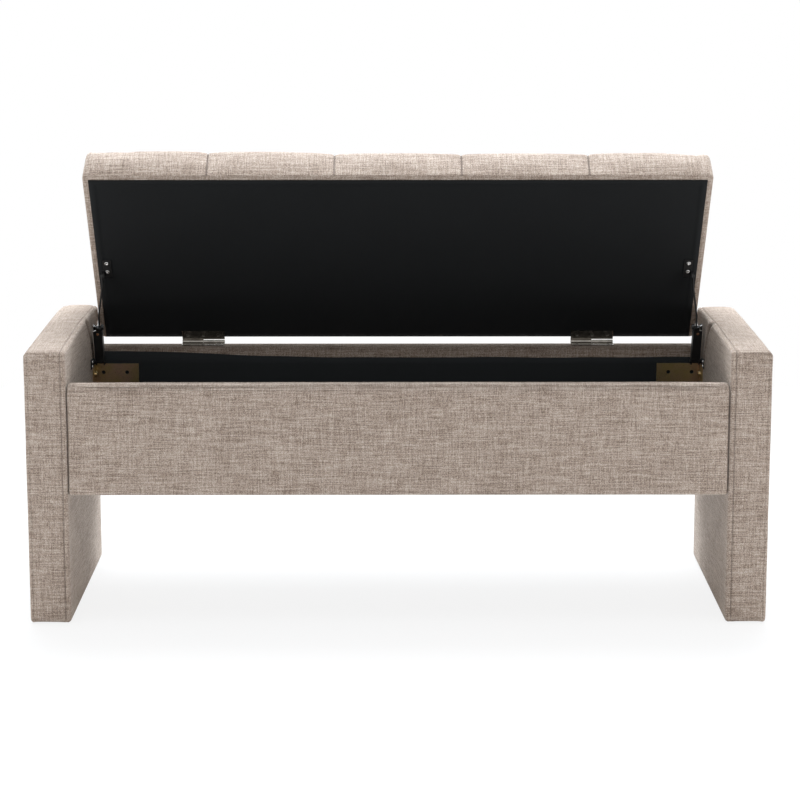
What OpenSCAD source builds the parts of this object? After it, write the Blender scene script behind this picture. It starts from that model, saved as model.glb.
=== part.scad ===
// Storage bench. Two upholstered slab ends carry a box between them, and a
// padded, stitched lid hinges on the box's back rail. The lid is drawn open,
// held by a folding stay at each end, which is how the bench stands at rest.
// X runs along the bench, Y from front to back, Z up from the floor.

/* [Overall] */
// Length over both ends
bench_w = 1220; // [1000:5:1500]
// Depth from the front face to the back face
bench_d = 381; // [350:1:460]
// Height of an end at its edges
end_h = 460; // [445:1:520]
// Thickness of one end
end_t = 68; // [56:1:90]

/* [Upholstery] */
// Thickness of the fabric covers
fabric_t = 2; // [1:0.5:3]
// Thickness of the foam round an end's core
end_foam_t = 10; // [6:0.5:14]
// Rise of the padding in the middle of an end's top
end_crown = 5; // [1:0.5:8]
// Radius of an end's upright corners, seen from above
end_corner_r = 8; // [6:0.5:12]
// Radius of the edges round an end's top
end_edge_r = 6; // [3:0.5:8]
// Width of the fabric turned under a core or a lid board
turn_under = 22; // [14:1:24]
// Thickness of the black lining and dust cloth
lining_t = 1; // [0.6:0.1:1.5]

/* [Box] */
// Height of the box's underside above the floor
box_z = 219; // [150:1:260]
// Height of the back rail's top, where the hinges lie
rail_top_z = 399.6; // [380:0.2:420]
// Thickness of the front panel with its padding and cover
front_t = 34; // [28:0.5:44]
// Radius of the front panel's rolled top edges
front_roll_r = 13; // [8:0.5:14]
// Thickness of the back panel with its cover
back_t = 34; // [28:0.5:44]
// Radius of the back rail's top edges
rail_roll_r = 6; // [3:0.5:9]
// Thickness of the front and back boards
panel_board_t = 20; // [15:0.5:22]
// Thickness of the board that makes the box's floor
floor_t = 9; // [5:0.5:15]
// Height and width of the battens that carry the floor
batten = 14; // [10:0.5:20]
// Height up to which the black lining covers the back panel
back_lining_top_z = 384; // [360:1:390]
// Air between the box's panels and the ends
panel_gap = 0.3; // [0.2:0.1:1]

/* [Lid] */
// Thickness of the closed lid at the top of its padding, lining included
lid_t = 63; // [50:0.5:70]
// Height of the stitched pads above their seams
pad_rise = 6; // [3:0.5:8]
// Number of pads along the lid
pad_columns = 5; // [3:1:6]
// Distance between the seams along the lid
pad_pitch = 216.4; // [170:0.2:218]
// Number of pads from front to back
pad_rows = 2; // [1:1:3]
// How far a seam draws the lid's sides in
seam_pull = 2.5; // [0:0.5:4]
// Radius of the lid's upright corners, seen from above
lid_corner_r = 15; // [13:0.5:20]
// Radius of the edge round the lid's top
lid_edge_r = 11; // [8:0.5:12]
// Air between each side of the lid and the end beside it
lid_side_gap = 7; // [4:0.5:12]
// Air between the closed lid and the front panel's top
lid_rest_gap = 1; // [0.5:0.1:2]
// How far the lid's front edge lies behind the bench's front face
lid_front_in = 0.5; // [0:0.5:6]
// Distance from the hinge axis forward to the lid's back edge
lid_setback = 6.3; // [5:0.1:12]
// Thickness of the board inside the lid
lid_board_t = 12; // [9:0.5:18]
// Width of the cover's border left bare beside and before the lid's lining
lining_border = 10; // [6:0.5:16]
// Width of the cover's border left bare behind the lid's lining
lining_back_border = 3; // [3:0.5:10]
// Angle at which the stays hold the lid open
open_angle = 58.5; // [45:0.5:75]

/* [Hinges] */
// Length of a hinge
hinge_len = 76; // [60:1:100]
// Distance from an end's inner face to the middle of a hinge
hinge_in = 192; // [120:1:260]
// Radius of a hinge's rolled barrel
barrel_r = 3.2; // [2.8:0.1:4]
// Radius of a hinge's pin
pin_r = 1.6; // [1.2:0.1:1.8]
// Thickness of a hinge's leaves
leaf_t = 1.3; // [1:0.1:1.6]
// Width of a leaf from the barrel's axis to its edge
leaf_w = 24; // [20:0.5:32]
// How far the hinge axis lies in front of the bench's back face
axis_in = 2.5; // [1:0.5:6]
// Radial air between a turning part and its pin
run_gap = 0.05; // [0.03:0.01:0.08]

/* [Lid stays] */
// Distance from the bench's back face forward to the foot's pivot
foot_in = 60; // [56:1:80]
// Depth of the foot's pivot below the back rail's top
foot_drop = 21.6; // [18:0.2:30]
// Length of the lower arm between its pivots
lower_arm_l = 70; // [60:1:80]
// Lean of the lower arm towards the front
lower_arm_lean = 19; // [8:0.5:26]
// Distance from the hinge axis to the stay's pivot on the lid
lid_pivot_reach = 160; // [140:1:175]
// Depth of the stay's pivot below the closed lid's underside
lid_pivot_drop = 8.2; // [7.5:0.1:11]
// Distance from the lower arm's middle plane to the end beside it
stay_in = 12.8; // [12:0.1:16]
// Sideways bend of the upper arm between its eyes
arm_joggle = 8.2; // [5:0.1:9.5]
// Width of the lower arm's channel
channel_w = 15.4; // [14.6:0.1:16]
// Thickness of the channel's steel
channel_t = 1.5; // [1:0.1:2]
// Thickness of the flat upper arm
arm_t = 2; // [1.5:0.1:2.4]
// Width of the flat upper arm
arm_w = 13; // [10:0.5:14]
// Radius of the stay's pivot pins
stay_pin_r = 2.5; // [2:0.1:3]
// Wire thickness of the stay's spring
wire_d = 1.2; // [1:0.1:1.4]
// Number of the spring's curls
spring_curls = 11; // [6:1:12]
// Radius of the spring's coil at the middle of its wire
spring_r = 2.7; // [2.3:0.1:2.8]

/* [Angle brackets] */
// Length of an angle bracket's flange on the panel
bracket_long = 78; // [70:1:90]
// Length of an angle bracket's flange on the end
bracket_short = 36; // [30:1:44]
// Height of an angle bracket
bracket_h = 60; // [50:1:70]
// Thickness of an angle bracket
bracket_t = 2.5; // [2:0.1:4]
// Depth of an angle bracket's top below the back rail's top
bracket_drop = 30; // [28:0.5:40]
// Radius of the holes in an angle bracket
bracket_hole_r = 3.5; // [3.2:0.1:4]
// Radius of the bolts in the angle brackets
bolt_r = 3; // [2.5:0.1:3.1]

/* [Screws and bolts] */
// Length of the bolts that hold the angle brackets to the ends
bolt_l = 36; // [30:1:44]
// Length of the screws that hold the angle brackets to the panels
panel_screw_l = 16; // [12:1:22]
// Length of the hinge screws in the back rail
rail_screw_l = 18; // [14:1:24]
// Length of the hinge screws in the lid
lid_screw_l = 14; // [10:1:15]
// Length of the stay screws in the ends
foot_screw_l = 16; // [14:1:24]
// Length of the stay screws in the lid
bracket_screw_l = 13; // [10:1:15]

/* [Glides] */
// Height of the glides under the ends
glide_h = 2; // [1.5:0.5:4]
// Radius of a glide
glide_r = 11; // [8:0.5:14]
// Distance from an end's front or back face to a glide's middle
glide_in = 40; // [30:1:80]

/* [Hidden] */
$fn = 40;

linen = [0.66, 0.61, 0.56];
foam = [0.93, 0.90, 0.80];
timber = [0.76, 0.62, 0.44];
cloth = [0.09, 0.09, 0.10];
nickel = [0.72, 0.70, 0.67];
zinc = [0.76, 0.66, 0.36];
black = [0.12, 0.12, 0.13];
bright = [0.85, 0.85, 0.85];
nylon = [0.20, 0.20, 0.20];

// Places along the bench
inner_x = bench_w / 2 - end_t;
end_mid_x = bench_w / 2 - end_t / 2;
panel_x = inner_x - panel_gap;
lid_x = inner_x - lid_side_gap;

// Heights
axis_z = rail_top_z + barrel_r;
lid_under_z = axis_z + barrel_r;
front_top_z = lid_under_z - lid_rest_gap;
batten_z = box_z + lining_t + 1;
floor_z = batten_z + batten;
floor_top_z = floor_z + floor_t;
cover_z = glide_h;

// The lid's padded block, closed, measured from its own middle and underside
axis_from_front = bench_d - axis_in;
lid_d = axis_from_front - lid_setback - lid_front_in;
lid_cover_t = lid_t - lining_t;
seam_z = lid_cover_t - pad_rise;

// Grid lines across a padded face: three at each corner, others between
corner_step = 1 - tan(22.5);
function pad_lines(half, r, inner) = concat(
    [-half, -half + corner_step * r, -half + r], inner,
    [half - r, half - corner_step * r, half]);

// Carries a point of a corner's square on to the corner's arc
function on_corner(p, hx, hy, r) =
    let (dx = abs(p.x) - (hx - r), dy = abs(p.y) - (hy - r))
    dx <= 0 || dy <= 0 ? p :
    let (s = max(dx, dy) / norm([dx, dy]))
    [sign(p.x) * (hx - r + dx * s), sign(p.y) * (hy - r + dy * s)];

// Height of a pad's swell at v, 0 at a seam and 1 in the middle of a pad
pad_fullness = 3;
function swell(v, stops, rim_drop) =
    let (k = max([for (i = [0:len(stops) - 2]) stops[i] <= v + 0.001 ? i : 0]),
         c = (2 * v - stops[k] - stops[k + 1]) / (stops[k + 1] - stops[k]),
         at_rim = (k == 0 && c < 0) || (k == len(stops) - 2 && c > 0))
    1 - (at_rim ? rim_drop : 1) * pow(min(abs(c), 1), pad_fullness);

function is_seam(v, stops) =
    len([for (i = [1:1:len(stops) - 2]) if (abs(stops[i] - v) < 0.01) i]) > 0;

// The grid cells round the rim, anticlockwise from above, and a cell's place there
function rim_cells(nx, ny) = concat(
    [for (i = [0:nx - 1]) [i, 0]],
    [for (j = [1:ny - 1]) [nx - 1, j]],
    [for (i = [nx - 2:-1:0]) [i, ny - 1]],
    [for (j = [ny - 2:-1:1]) [0, j]]);
function rim_place(i, j, nx, ny) =
    j == 0 ? i :
    i == nx - 1 ? nx - 1 + j :
    j == ny - 1 ? 2 * (nx - 1) + ny - 1 - i :
    2 * (nx + ny - 2) - j;

// One ring of the block's side at a level [inset, height, share of swell, share of pull]
function pad_ring(hx, hy, r, xi, yi, stops_x, stops_y, rise, rim_drop, pull, level) =
    let (a = level[0], xs = pad_lines(hx - a, r - a, xi), ys = pad_lines(hy - a, r - a, yi),
         xo = pad_lines(hx, r, xi), yo = pad_lines(hy, r, yi),
         nx = len(xs), ny = len(ys))
    [for (c = rim_cells(nx, ny))
        let (p = on_corner([xs[c.x], ys[c.y]], hx - a, hy - a, r - a),
             lift = rise * swell(xo[c.x], stops_x, rim_drop) * swell(yo[c.y], stops_y, rim_drop),
             px = (c.x == 0 || c.x == nx - 1) && is_seam(yo[c.y], stops_y) ? pull : 0,
             py = (c.y == 0 || c.y == ny - 1) && is_seam(xo[c.x], stops_x) ? pull : 0)
        [p.x - sign(p.x) * px * level[3], p.y - sign(p.y) * py * level[3],
         level[1] + lift * level[2]]];

// A padded block standing on z = 0: rounded corners and top edge, a swelling top
// with seams at the inner stops, and sides drawn in where the seams run down them
module padded_block(hx, hy, r, xi, yi, stops_x, stops_y, top_z, rise, rim_drop, pull, levels) {
    inset = levels[len(levels) - 1][0];
    xs = pad_lines(hx - inset, r - inset, xi);
    ys = pad_lines(hy - inset, r - inset, yi);
    nx = len(xs);
    ny = len(ys);
    per = 2 * (nx + ny) - 4;
    rings = [for (l = levels)
        each pad_ring(hx, hy, r, xi, yi, stops_x, stops_y, rise, rim_drop, pull, l)];
    inside = [for (i = [1:nx - 2]) for (j = [1:ny - 2])
        let (p = on_corner([xs[i], ys[j]], hx - inset, hy - inset, r - inset))
        [p.x, p.y, top_z + rise * swell(xs[i], stops_x, rim_drop) * swell(ys[j], stops_y, rim_drop)]];
    last = (len(levels) - 1) * per;
    function at(i, j) = i == 0 || j == 0 || i == nx - 1 || j == ny - 1
        ? last + rim_place(i, j, nx, ny)
        : last + per + (i - 1) * (ny - 2) + j - 1;
    sides = [for (k = [0:len(levels) - 2]) for (m = [0:per - 1])
        let (a = k * per + m, b = k * per + (m + 1) % per)
        each [[a, a + per, b + per], [a, b + per, b]]];
    top = [for (i = [0:nx - 2]) for (j = [0:ny - 2])
        each [[at(i, j), at(i, j + 1), at(i + 1, j + 1)], [at(i, j), at(i + 1, j + 1), at(i + 1, j)]]];
    polyhedron(concat(rings, inside), concat([[for (m = [0:per - 1]) m]], sides, top), convexity = 6);
}

// Levels up a block's side: a small lower edge, the wall, and an arc into the top
function side_levels(foot_r, edge_r, top_z) = concat(
    [[foot_r, 0, 0, 0], [0, foot_r, 0, 0.4], [0, (top_z - edge_r) * 0.55, 0.2, 1]],
    [for (a = [0:30:90]) [edge_r * (1 - cos(a)), top_z - edge_r + edge_r * sin(a),
        0.5 + a / 180, 1 - 0.4 * sin(a)]]);

// Stops and grid lines of the lid's stitched top
lid_hx = lid_x;
lid_hy = lid_d / 2;
column_seams = [for (i = [1:pad_columns - 1]) (i - pad_columns / 2) * pad_pitch];
row_seams = [for (i = [1:1:pad_rows - 1]) (i - pad_rows / 2) * lid_d / pad_rows];
lid_stops_x = concat([-lid_hx], column_seams, [lid_hx]);
lid_stops_y = concat([-lid_hy], row_seams, [lid_hy]);
pad_shares = [-0.86, -0.5, 0, 0.5, 0.86];
// Lines of every pad between two stops, the seams themselves included
function pad_grid(stops, half, r) =
    let (ends = [for (i = [0:len(stops) - 1]) max(r - half, min(half - r, stops[i]))])
    [for (k = [0:len(ends) - 2]) each concat(
        k == 0 ? [] : [ends[k]],
        [for (s = pad_shares) (ends[k] + ends[k + 1]) / 2 + s * (ends[k + 1] - ends[k]) / 2])];

// Levels of the lid's sides, and the furthest that its open back edge reaches behind the axis
rim_share = 0.5;
lid_levels = side_levels(2.5, lid_edge_r, seam_z);
lid_back_reach = max([for (l = lid_levels) -(lid_setback + l[0]) * cos(open_angle)
    + (barrel_r + lining_t + l[1] + pad_rise * rim_share * l[2]) * sin(open_angle)]);

// Front and back faces, with the origin in the middle of what stands on the floor's plan
front_y = -(axis_from_front + lid_back_reach) / 2;
back_y = front_y + bench_d;
axis_y = front_y + axis_from_front;
lid_back_y = axis_y - lid_setback;
lid_mid_y = lid_back_y - lid_d / 2;
front_in_y = front_y + front_t;
back_in_y = back_y - back_t;

// Turns a piece drawn on the closed lid to where it is with the lid open
module on_lid() {
    translate([0, axis_y, axis_z]) rotate([-open_angle, 0, 0])
        translate([0, -axis_y, -axis_z]) children();
}

// Draws a piece for the left side, or its mirror image for the right one
module at_side(side) {
    mirror([side > 0 ? 1 : 0, 0, 0]) children();
}

// A rod from a point along +X, +Y or -Z
module rod_x(p, r, l) { translate(p) rotate([0, 90, 0]) cylinder(r = r, h = l); }
module rod_y(p, r, l) { translate(p) rotate([-90, 0, 0]) cylinder(r = r, h = l); }

// Upholstered ends

end_top_z = end_h - cover_z;
core_inset = fabric_t + end_foam_t;
core_x = end_t / 2 - core_inset;
core_y = bench_d / 2 - core_inset;
core_z = cover_z + fabric_t;
core_top_z = end_h - core_inset;

module end_place(side) { translate([side * end_mid_x, front_y + bench_d / 2, 0]) children(); }

module box_about(hx, hy, z0, z1) { translate([-hx, -hy, z0]) cube([2 * hx, 2 * hy, z1 - z0]); }

module end_core(side) {
    color(timber) end_place(side) box_about(core_x, core_y, core_z, core_top_z);
}

module end_padding(side) {
    color(foam) end_place(side) difference() {
        box_about(end_t / 2 - fabric_t, bench_d / 2 - fabric_t, core_z, end_h - fabric_t);
        box_about(core_x, core_y, core_z - 1, core_top_z);
    }
}

module end_cover(side) {
    hx = end_t / 2;
    hy = bench_d / 2;
    color(linen) end_place(side) difference() {
        translate([0, 0, cover_z]) padded_block(hx, hy, end_corner_r,
            [-hx / 3, 0, hx / 3], [for (s = [-0.75, -0.45, -0.15, 0.15, 0.45, 0.75]) s * hy],
            [-hx, hx], [-hy, hy], end_top_z, end_crown, 1, 0,
            side_levels(1.5, end_edge_r, end_top_z));
        box_about(hx - fabric_t, hy - fabric_t, core_z, end_h - fabric_t);
        box_about(hx - turn_under, hy - turn_under, cover_z - 1, core_z + 1);
    }
}

module floor_glides() {
    nail_l = 12;
    nail_r = 1.2;
    color(nylon)
    for (side = [-1, 1]) for (end = [-1, 1])
        translate([side * end_mid_x, front_y + bench_d / 2 + end * (bench_d / 2 - glide_in), 0]) {
            cylinder(r1 = glide_r - 0.6, r2 = glide_r, h = 0.6);
            translate([0, 0, 0.6]) cylinder(r = glide_r, h = core_z - 0.6);
            translate([0, 0, core_z - 0.1]) cylinder(r = nail_r, h = nail_l);
        }
}

// Box panels: each is a section in Y and Z, drawn along X between the ends

module along_x(half) {
    translate([-half, 0, 0]) rotate([90, 0, 90]) linear_extrude(height = 2 * half) children();
}

// Section with both top edges rounded, from y0 to y1 and z0 to z1
module rolled_section(y0, y1, z0, z1, r) {
    translate([y0, z0]) square([y1 - y0, z1 - r - z0]);
    translate([y0 + r, z0]) square([y1 - y0 - 2 * r, z1 - z0]);
    translate([y0 + r, z1 - r]) circle(r = r);
    translate([y1 - r, z1 - r]) circle(r = r);
}

front_board_y = front_in_y - fabric_t - panel_board_t;
front_pad_t = front_t - panel_board_t - 2 * fabric_t;
front_board_top_z = front_top_z - front_roll_r;
panel_board_z = box_z + fabric_t;

module front_board() {
    color(timber) along_x(panel_x) translate([front_board_y, panel_board_z])
        square([panel_board_t, front_board_top_z - panel_board_z]);
}

module front_padding() {
    color(foam) along_x(panel_x) difference() {
        rolled_section(front_y + fabric_t, front_in_y - fabric_t, panel_board_z,
            front_top_z - fabric_t, front_roll_r - fabric_t);
        translate([front_board_y, panel_board_z - 1])
            square([panel_board_t + 1, front_board_top_z - panel_board_z + 1]);
    }
}

module front_cover() {
    color(linen) along_x(panel_x) difference() {
        rolled_section(front_y, front_in_y, box_z, front_top_z, front_roll_r);
        rolled_section(front_y + fabric_t, front_in_y - fabric_t, panel_board_z,
            front_top_z - fabric_t, front_roll_r - fabric_t);
    }
}

front_lining_top_z = front_top_z - 2 * front_roll_r;
module front_lining() {
    color(cloth) along_x(panel_x) translate([front_in_y, floor_top_z])
        square([lining_t, front_lining_top_z - floor_top_z]);
}

back_skin_t = (back_t - panel_board_t) / 2;
module back_board() {
    color(timber) along_x(panel_x) translate([back_in_y + back_skin_t, box_z + back_skin_t])
        square([panel_board_t, rail_top_z - box_z - 2 * back_skin_t]);
}

module back_cover() {
    color(linen) along_x(panel_x) difference() {
        rolled_section(back_in_y, back_y, box_z, rail_top_z, rail_roll_r);
        translate([back_in_y + back_skin_t, box_z + back_skin_t])
            square([panel_board_t, rail_top_z - box_z - 2 * back_skin_t]);
    }
}

module back_lining() {
    color(cloth) along_x(panel_x) translate([back_in_y - lining_t, floor_top_z])
        square([lining_t, back_lining_top_z - floor_top_z]);
}

module floor_board() {
    color(timber) along_x(panel_x) translate([front_in_y, floor_z])
        square([back_in_y - front_in_y, floor_t]);
}

module floor_lining() {
    color(cloth) along_x(panel_x) translate([front_in_y + lining_t, floor_top_z])
        square([back_in_y - front_in_y - 2 * lining_t, lining_t]);
}

module floor_battens() {
    middle = (front_in_y + back_in_y) / 2;
    color(timber) {
        along_x(panel_x) translate([front_in_y, batten_z]) square([batten, batten]);
        along_x(panel_x) translate([back_in_y - batten, batten_z]) square([batten, batten]);
        for (x = [-panel_x, -batten / 2, panel_x - batten])
            translate([x, front_in_y + batten, batten_z])
                cube([batten, back_in_y - front_in_y - 2 * batten, batten]);
    }
}

module dust_cloths() {
    color(cloth) {
        along_x(panel_x) translate([front_in_y, batten_z - lining_t])
            square([back_in_y - front_in_y, lining_t]);
        for (side = [-1, 1]) end_place(side) difference() {
            box_about(end_t / 2 - turn_under, bench_d / 2 - turn_under, core_z - lining_t, core_z);
            for (end = [-1, 1]) translate([0, end * (bench_d / 2 - glide_in), core_z - lining_t - 1])
                cylinder(r = glide_r, h = lining_t + 2);
        }
    }
}

// Angle brackets in the box's four corners

bracket_top_z = rail_top_z - bracket_drop;
bracket_row_z = [bracket_top_z - 16, bracket_top_z - bracket_h + 16];
bracket_panel_holes = [15, 57];
bracket_end_hole = 18;
bracket_y = [front_in_y + lining_t, back_in_y - lining_t];

// Stands in a corner: its corner at the origin, long flange on +X, short one on +Y
module bracket_place(side, end) {
    translate([side * inner_x, bracket_y[end], 0])
        mirror([side > 0 ? 1 : 0, 0, 0]) mirror([0, end > 0 ? 1 : 0, 0]) children();
}

module angle_bracket(side, end) {
    color(zinc) bracket_place(side, end) difference() {
        translate([0, 0, bracket_top_z - bracket_h]) union() {
            cube([bracket_long, bracket_t, bracket_h]);
            cube([bracket_t, bracket_short, bracket_h]);
        }
        for (z = bracket_row_z) {
            for (x = bracket_panel_holes) rod_y([x, -1, z], bracket_hole_r, bracket_t + 2);
            rod_x([-1, bracket_end_hole, z], bracket_hole_r, bracket_t + 2);
        }
    }
}

// Bolts through the short flanges into the ends
module bracket_bolts() {
    head_r = 5.5;
    head_h = 3.3;
    color(zinc) for (side = [-1, 1]) for (end = [0, 1]) bracket_place(side, end)
        for (z = bracket_row_z) difference() {
            union() {
                rod_x([-bolt_l, bracket_end_hole, z], bolt_r, bolt_l + bracket_t + 0.5);
                rod_x([bracket_t, bracket_end_hole, z], head_r, head_h);
            }
            translate([bracket_t + head_h - 2, bracket_end_hole, z]) rotate([0, 90, 0])
                cylinder(r = 2.2, h = 3, $fn = 6);
        }
}

// Screws through the lower holes of the long flanges into the panels
module bracket_screws() {
    head_r = 4.8;
    head_h = 2.4;
    screw_r = 2.2;
    color(zinc) for (side = [-1, 1]) for (end = [0, 1]) bracket_place(side, end)
        for (x = bracket_panel_holes) {
            rod_y([x, -panel_screw_l, bracket_row_z[1]], screw_r, panel_screw_l + bracket_t + 0.5);
            rod_y([x, bracket_t, bracket_row_z[1]], head_r, head_h);
        }
}

// Hinges, drawn closed: the rail's leaf lies on the rail, the lid's under the lid

knuckle_gap = 0.4;
leaf_clear = 0.6;
hinge_screw_x = [-hinge_len * 0.36, 0, hinge_len * 0.36];
hinge_screw_in = leaf_w * 0.62;
hinge_x = inner_x - hinge_in;
hinge_screw_r = 1.9;
hinge_head_r = 3.6;
hinge_head_h = hinge_head_r - hinge_screw_r;

// A countersunk hole or screw head whose face is at z = 0, opening upwards
module countersink(r, head_r, h) {
    translate([0, 0, r - head_r]) cylinder(r1 = r, r2 = head_r, h = head_r - r);
    translate([0, 0, -0.01]) cylinder(r = head_r, h = h);
}

// One leaf with its knuckle; flip turns it upside down for the lid
module hinge_leaf(mid_x, flip, knuckle_side, bore_r) {
    knuckle_l = hinge_len / 2 - knuckle_gap / 2;
    knuckle_x = knuckle_side < 0 ? -hinge_len / 2 : knuckle_gap / 2;
    translate([mid_x, axis_y, axis_z]) mirror([0, 0, flip]) difference() {
        union() {
            translate([-hinge_len / 2, -leaf_w, -barrel_r])
                cube([hinge_len, leaf_w - barrel_r - leaf_clear, leaf_t]);
            translate([knuckle_x, -barrel_r - leaf_clear - 1, -barrel_r])
                cube([knuckle_l, barrel_r + leaf_clear + 1, leaf_t]);
            rod_x([knuckle_x, 0, 0], barrel_r, knuckle_l);
        }
        rod_x([knuckle_x - 1, 0, 0], bore_r, knuckle_l + 2);
        for (x = hinge_screw_x) translate([x, -hinge_screw_in, -barrel_r + leaf_t]) {
            countersink(hinge_screw_r + 0.3, hinge_head_r + 0.3, 1);
            translate([0, 0, -leaf_t - 1]) cylinder(r = hinge_screw_r + 0.3, h = leaf_t + 1);
        }
    }
}

module hinge_screws(flip, screw_l) {
    color(nickel) for (side = [-1, 1]) for (x = hinge_screw_x)
        translate([side * hinge_x + x, axis_y - hinge_screw_in, axis_z])
            mirror([0, 0, flip]) translate([0, 0, -barrel_r + leaf_t]) difference() {
                union() {
                    translate([0, 0, hinge_screw_r - hinge_head_r])
                        cylinder(r1 = hinge_screw_r, r2 = hinge_head_r, h = hinge_head_r - hinge_screw_r);
                    translate([0, 0, -screw_l]) cylinder(r = hinge_screw_r, h = screw_l - 0.5);
                }
                for (a = [0, 90]) rotate([0, 0, a])
                    translate([-hinge_head_r * 0.6, -0.35, -0.8]) cube([hinge_head_r * 1.2, 0.7, 1]);
            }
}

module rail_leaf(side) { color(nickel) hinge_leaf(side * hinge_x, 0, 1, pin_r); }
module lid_leaf(side) { color(nickel) on_lid() hinge_leaf(side * hinge_x, 1, -1, pin_r + run_gap); }
module hinge_pin(side) {
    color(nickel) rod_x([side * hinge_x - hinge_len / 2 + 0.5, axis_y, axis_z], pin_r, hinge_len - 1);
}

// Lid, drawn closed and then opened

lid_cavity_z = fabric_t;
lid_board_z = lid_under_z + lining_t + fabric_t;
lid_foam_top = seam_z - 3;
lid_skin = fabric_t + 3;

module lid_place() { on_lid() translate([0, lid_mid_y, lid_under_z + lining_t]) children(); }

module lid_cover() {
    color(linen) lid_place() difference() {
        padded_block(lid_hx, lid_hy, lid_corner_r,
            pad_grid(lid_stops_x, lid_hx, lid_corner_r), pad_grid(lid_stops_y, lid_hy, lid_corner_r),
            lid_stops_x, lid_stops_y, seam_z, pad_rise, 1 - rim_share, seam_pull, lid_levels);
        box_about(lid_hx - lid_skin, lid_hy - lid_skin, lid_cavity_z, lid_foam_top);
        box_about(lid_hx - turn_under, lid_hy - turn_under, -1, lid_cavity_z + 1);
    }
}

module lid_board() {
    color(timber) lid_place()
        box_about(lid_hx - lid_skin, lid_hy - lid_skin, lid_cavity_z, lid_cavity_z + lid_board_t);
}

module lid_foam() {
    color(foam) lid_place()
        box_about(lid_hx - lid_skin, lid_hy - lid_skin, lid_cavity_z + lid_board_t, lid_foam_top);
}

module lid_lining() {
    color(cloth) lid_place() translate([lining_border - lid_hx, lining_border - lid_hy, -lining_t])
        cube([2 * (lid_hx - lining_border), 2 * lid_hy - lining_border - lining_back_border, lining_t]);
}

// Folding stays, drawn for the left side and mirrored for the right one

foot_pivot = [back_y - foot_in, rail_top_z - foot_drop];
elbow = foot_pivot + lower_arm_l * [-sin(lower_arm_lean), cos(lower_arm_lean)];
// The pivot on the closed lid, then where the open lid carries it
lid_pivot_closed = [-lid_pivot_reach, barrel_r - lid_pivot_drop];
lid_pivot = [axis_y, axis_z] + [
    lid_pivot_closed.x * cos(open_angle) + lid_pivot_closed.y * sin(open_angle),
    -lid_pivot_closed.x * sin(open_angle) + lid_pivot_closed.y * cos(open_angle)];
upper_arm = elbow - lid_pivot;
upper_arm_l = norm(upper_arm);
upper_arm_turn = atan2(upper_arm.x, -upper_arm.y);

// Planes along X, on the left side
channel_x = -inner_x + stay_in;
channel_out = channel_x - channel_w / 2;
channel_in = channel_x + channel_w / 2;
arm_low_x = channel_x + 2.4;
arm_top_x = arm_low_x + arm_joggle;
ear_x = arm_top_x + arm_t / 2 + 0.8;
ear_t = 1.6;
foot_plate_t = 2;

// The channel's section runs from y = -front_lip to its open back edge
front_lip = 8.5;
back_lip = 8.5;
channel_low = 8;
web_low = 7;
web_top = lower_arm_l - 4;
eye_r = 6.5;

// Frame of the lower arm: foot pivot at the origin, arm along +Z
module on_lower_arm() {
    translate([0, foot_pivot.x, foot_pivot.y]) rotate([lower_arm_lean, 0, 0]) children();
}

module stay_channel(side) {
    color(black) at_side(side) on_lower_arm() difference() {
        union() {
            translate([channel_out, -front_lip, web_low]) cube([channel_w, channel_t, web_top - web_low]);
            for (x = [channel_out, channel_in - channel_t]) translate([x, 0, 0]) {
                rod_x([0, 0, 0], eye_r, channel_t);
                rod_x([0, 0, lower_arm_l], eye_r - 1, channel_t);
                translate([0, -front_lip, web_low])
                    cube([channel_t, front_lip + back_lip, web_top - eye_r - 2 - web_low]);
                translate([0, -eye_r, 0]) cube([channel_t, 2 * eye_r, web_low + 1]);
                translate([0, 1 - eye_r, web_top - eye_r - 4]) cube([channel_t, 2 * eye_r - 2, eye_r + 8]);
            }
            // Pin that anchors the spring's lower end
            rod_x([channel_out + 0.5, spring_y, anchor_z], 1.5, channel_w - 1);
        }
        rod_x([channel_out - 1, 0, 0], stay_pin_r + run_gap, channel_w + 2);
    }
}

// The elbow's rivet: a head and stub on each side of the upper arm's eye
elbow_stub_r = 2.6;
module elbow_rivet(side) {
    inner_from = arm_low_x + arm_t / 2 + 0.6;
    outer_to = arm_low_x - arm_t / 2 - 0.6;
    color(black) at_side(side) on_lower_arm() {
        rod_x([inner_from, 0, lower_arm_l], elbow_stub_r, channel_in - inner_from);
        rod_x([channel_in, 0, lower_arm_l], 4.5, 2.6);
        rod_x([channel_out - 0.8, 0, lower_arm_l], elbow_stub_r, outer_to - channel_out + 0.8);
    }
}

// Spring inside the channel: an anchored end, its curls, a leg and an open hook
spring_y = 4.2;
spring_x = channel_out + channel_t + 0.4 + wire_d / 2 + spring_r;
anchor_z = 13;
curls_z = anchor_z + 1.5 + wire_d / 2 + 3;
curls_l = lower_arm_l - 25 - curls_z;
hook_r = spring_y;
curl_steps = 8;
hook_steps = 14;
hook_turn = 250;
spring_path = concat(
    [[spring_x - spring_r, spring_y, anchor_z + 1.7], [spring_x - spring_r, spring_y, curls_z - 0.9]],
    [for (i = [0:spring_curls * curl_steps]) let (a = 180 + 360 * i / curl_steps)
        [spring_x + spring_r * cos(a), spring_y + spring_r * sin(a),
         curls_z + curls_l * i / (spring_curls * curl_steps)]],
    [[spring_x - spring_r, spring_y, curls_z + curls_l + 1.6],
     [spring_x - spring_r, spring_y, lower_arm_l - 3]],
    [for (i = [0:hook_steps]) let (a = hook_turn * i / hook_steps)
        [spring_x - spring_r, hook_r * cos(a), lower_arm_l + hook_r * sin(a)]],
    [[spring_x - spring_r, hook_r * cos(hook_turn) - wire_d * sin(hook_turn),
      lower_arm_l + hook_r * sin(hook_turn) + wire_d * cos(hook_turn)]]);

function unit(v) = v / norm(v);
function along(p, i) = unit(p[min(i + 1, len(p) - 1)] - p[max(i - 1, 0)]);

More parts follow.
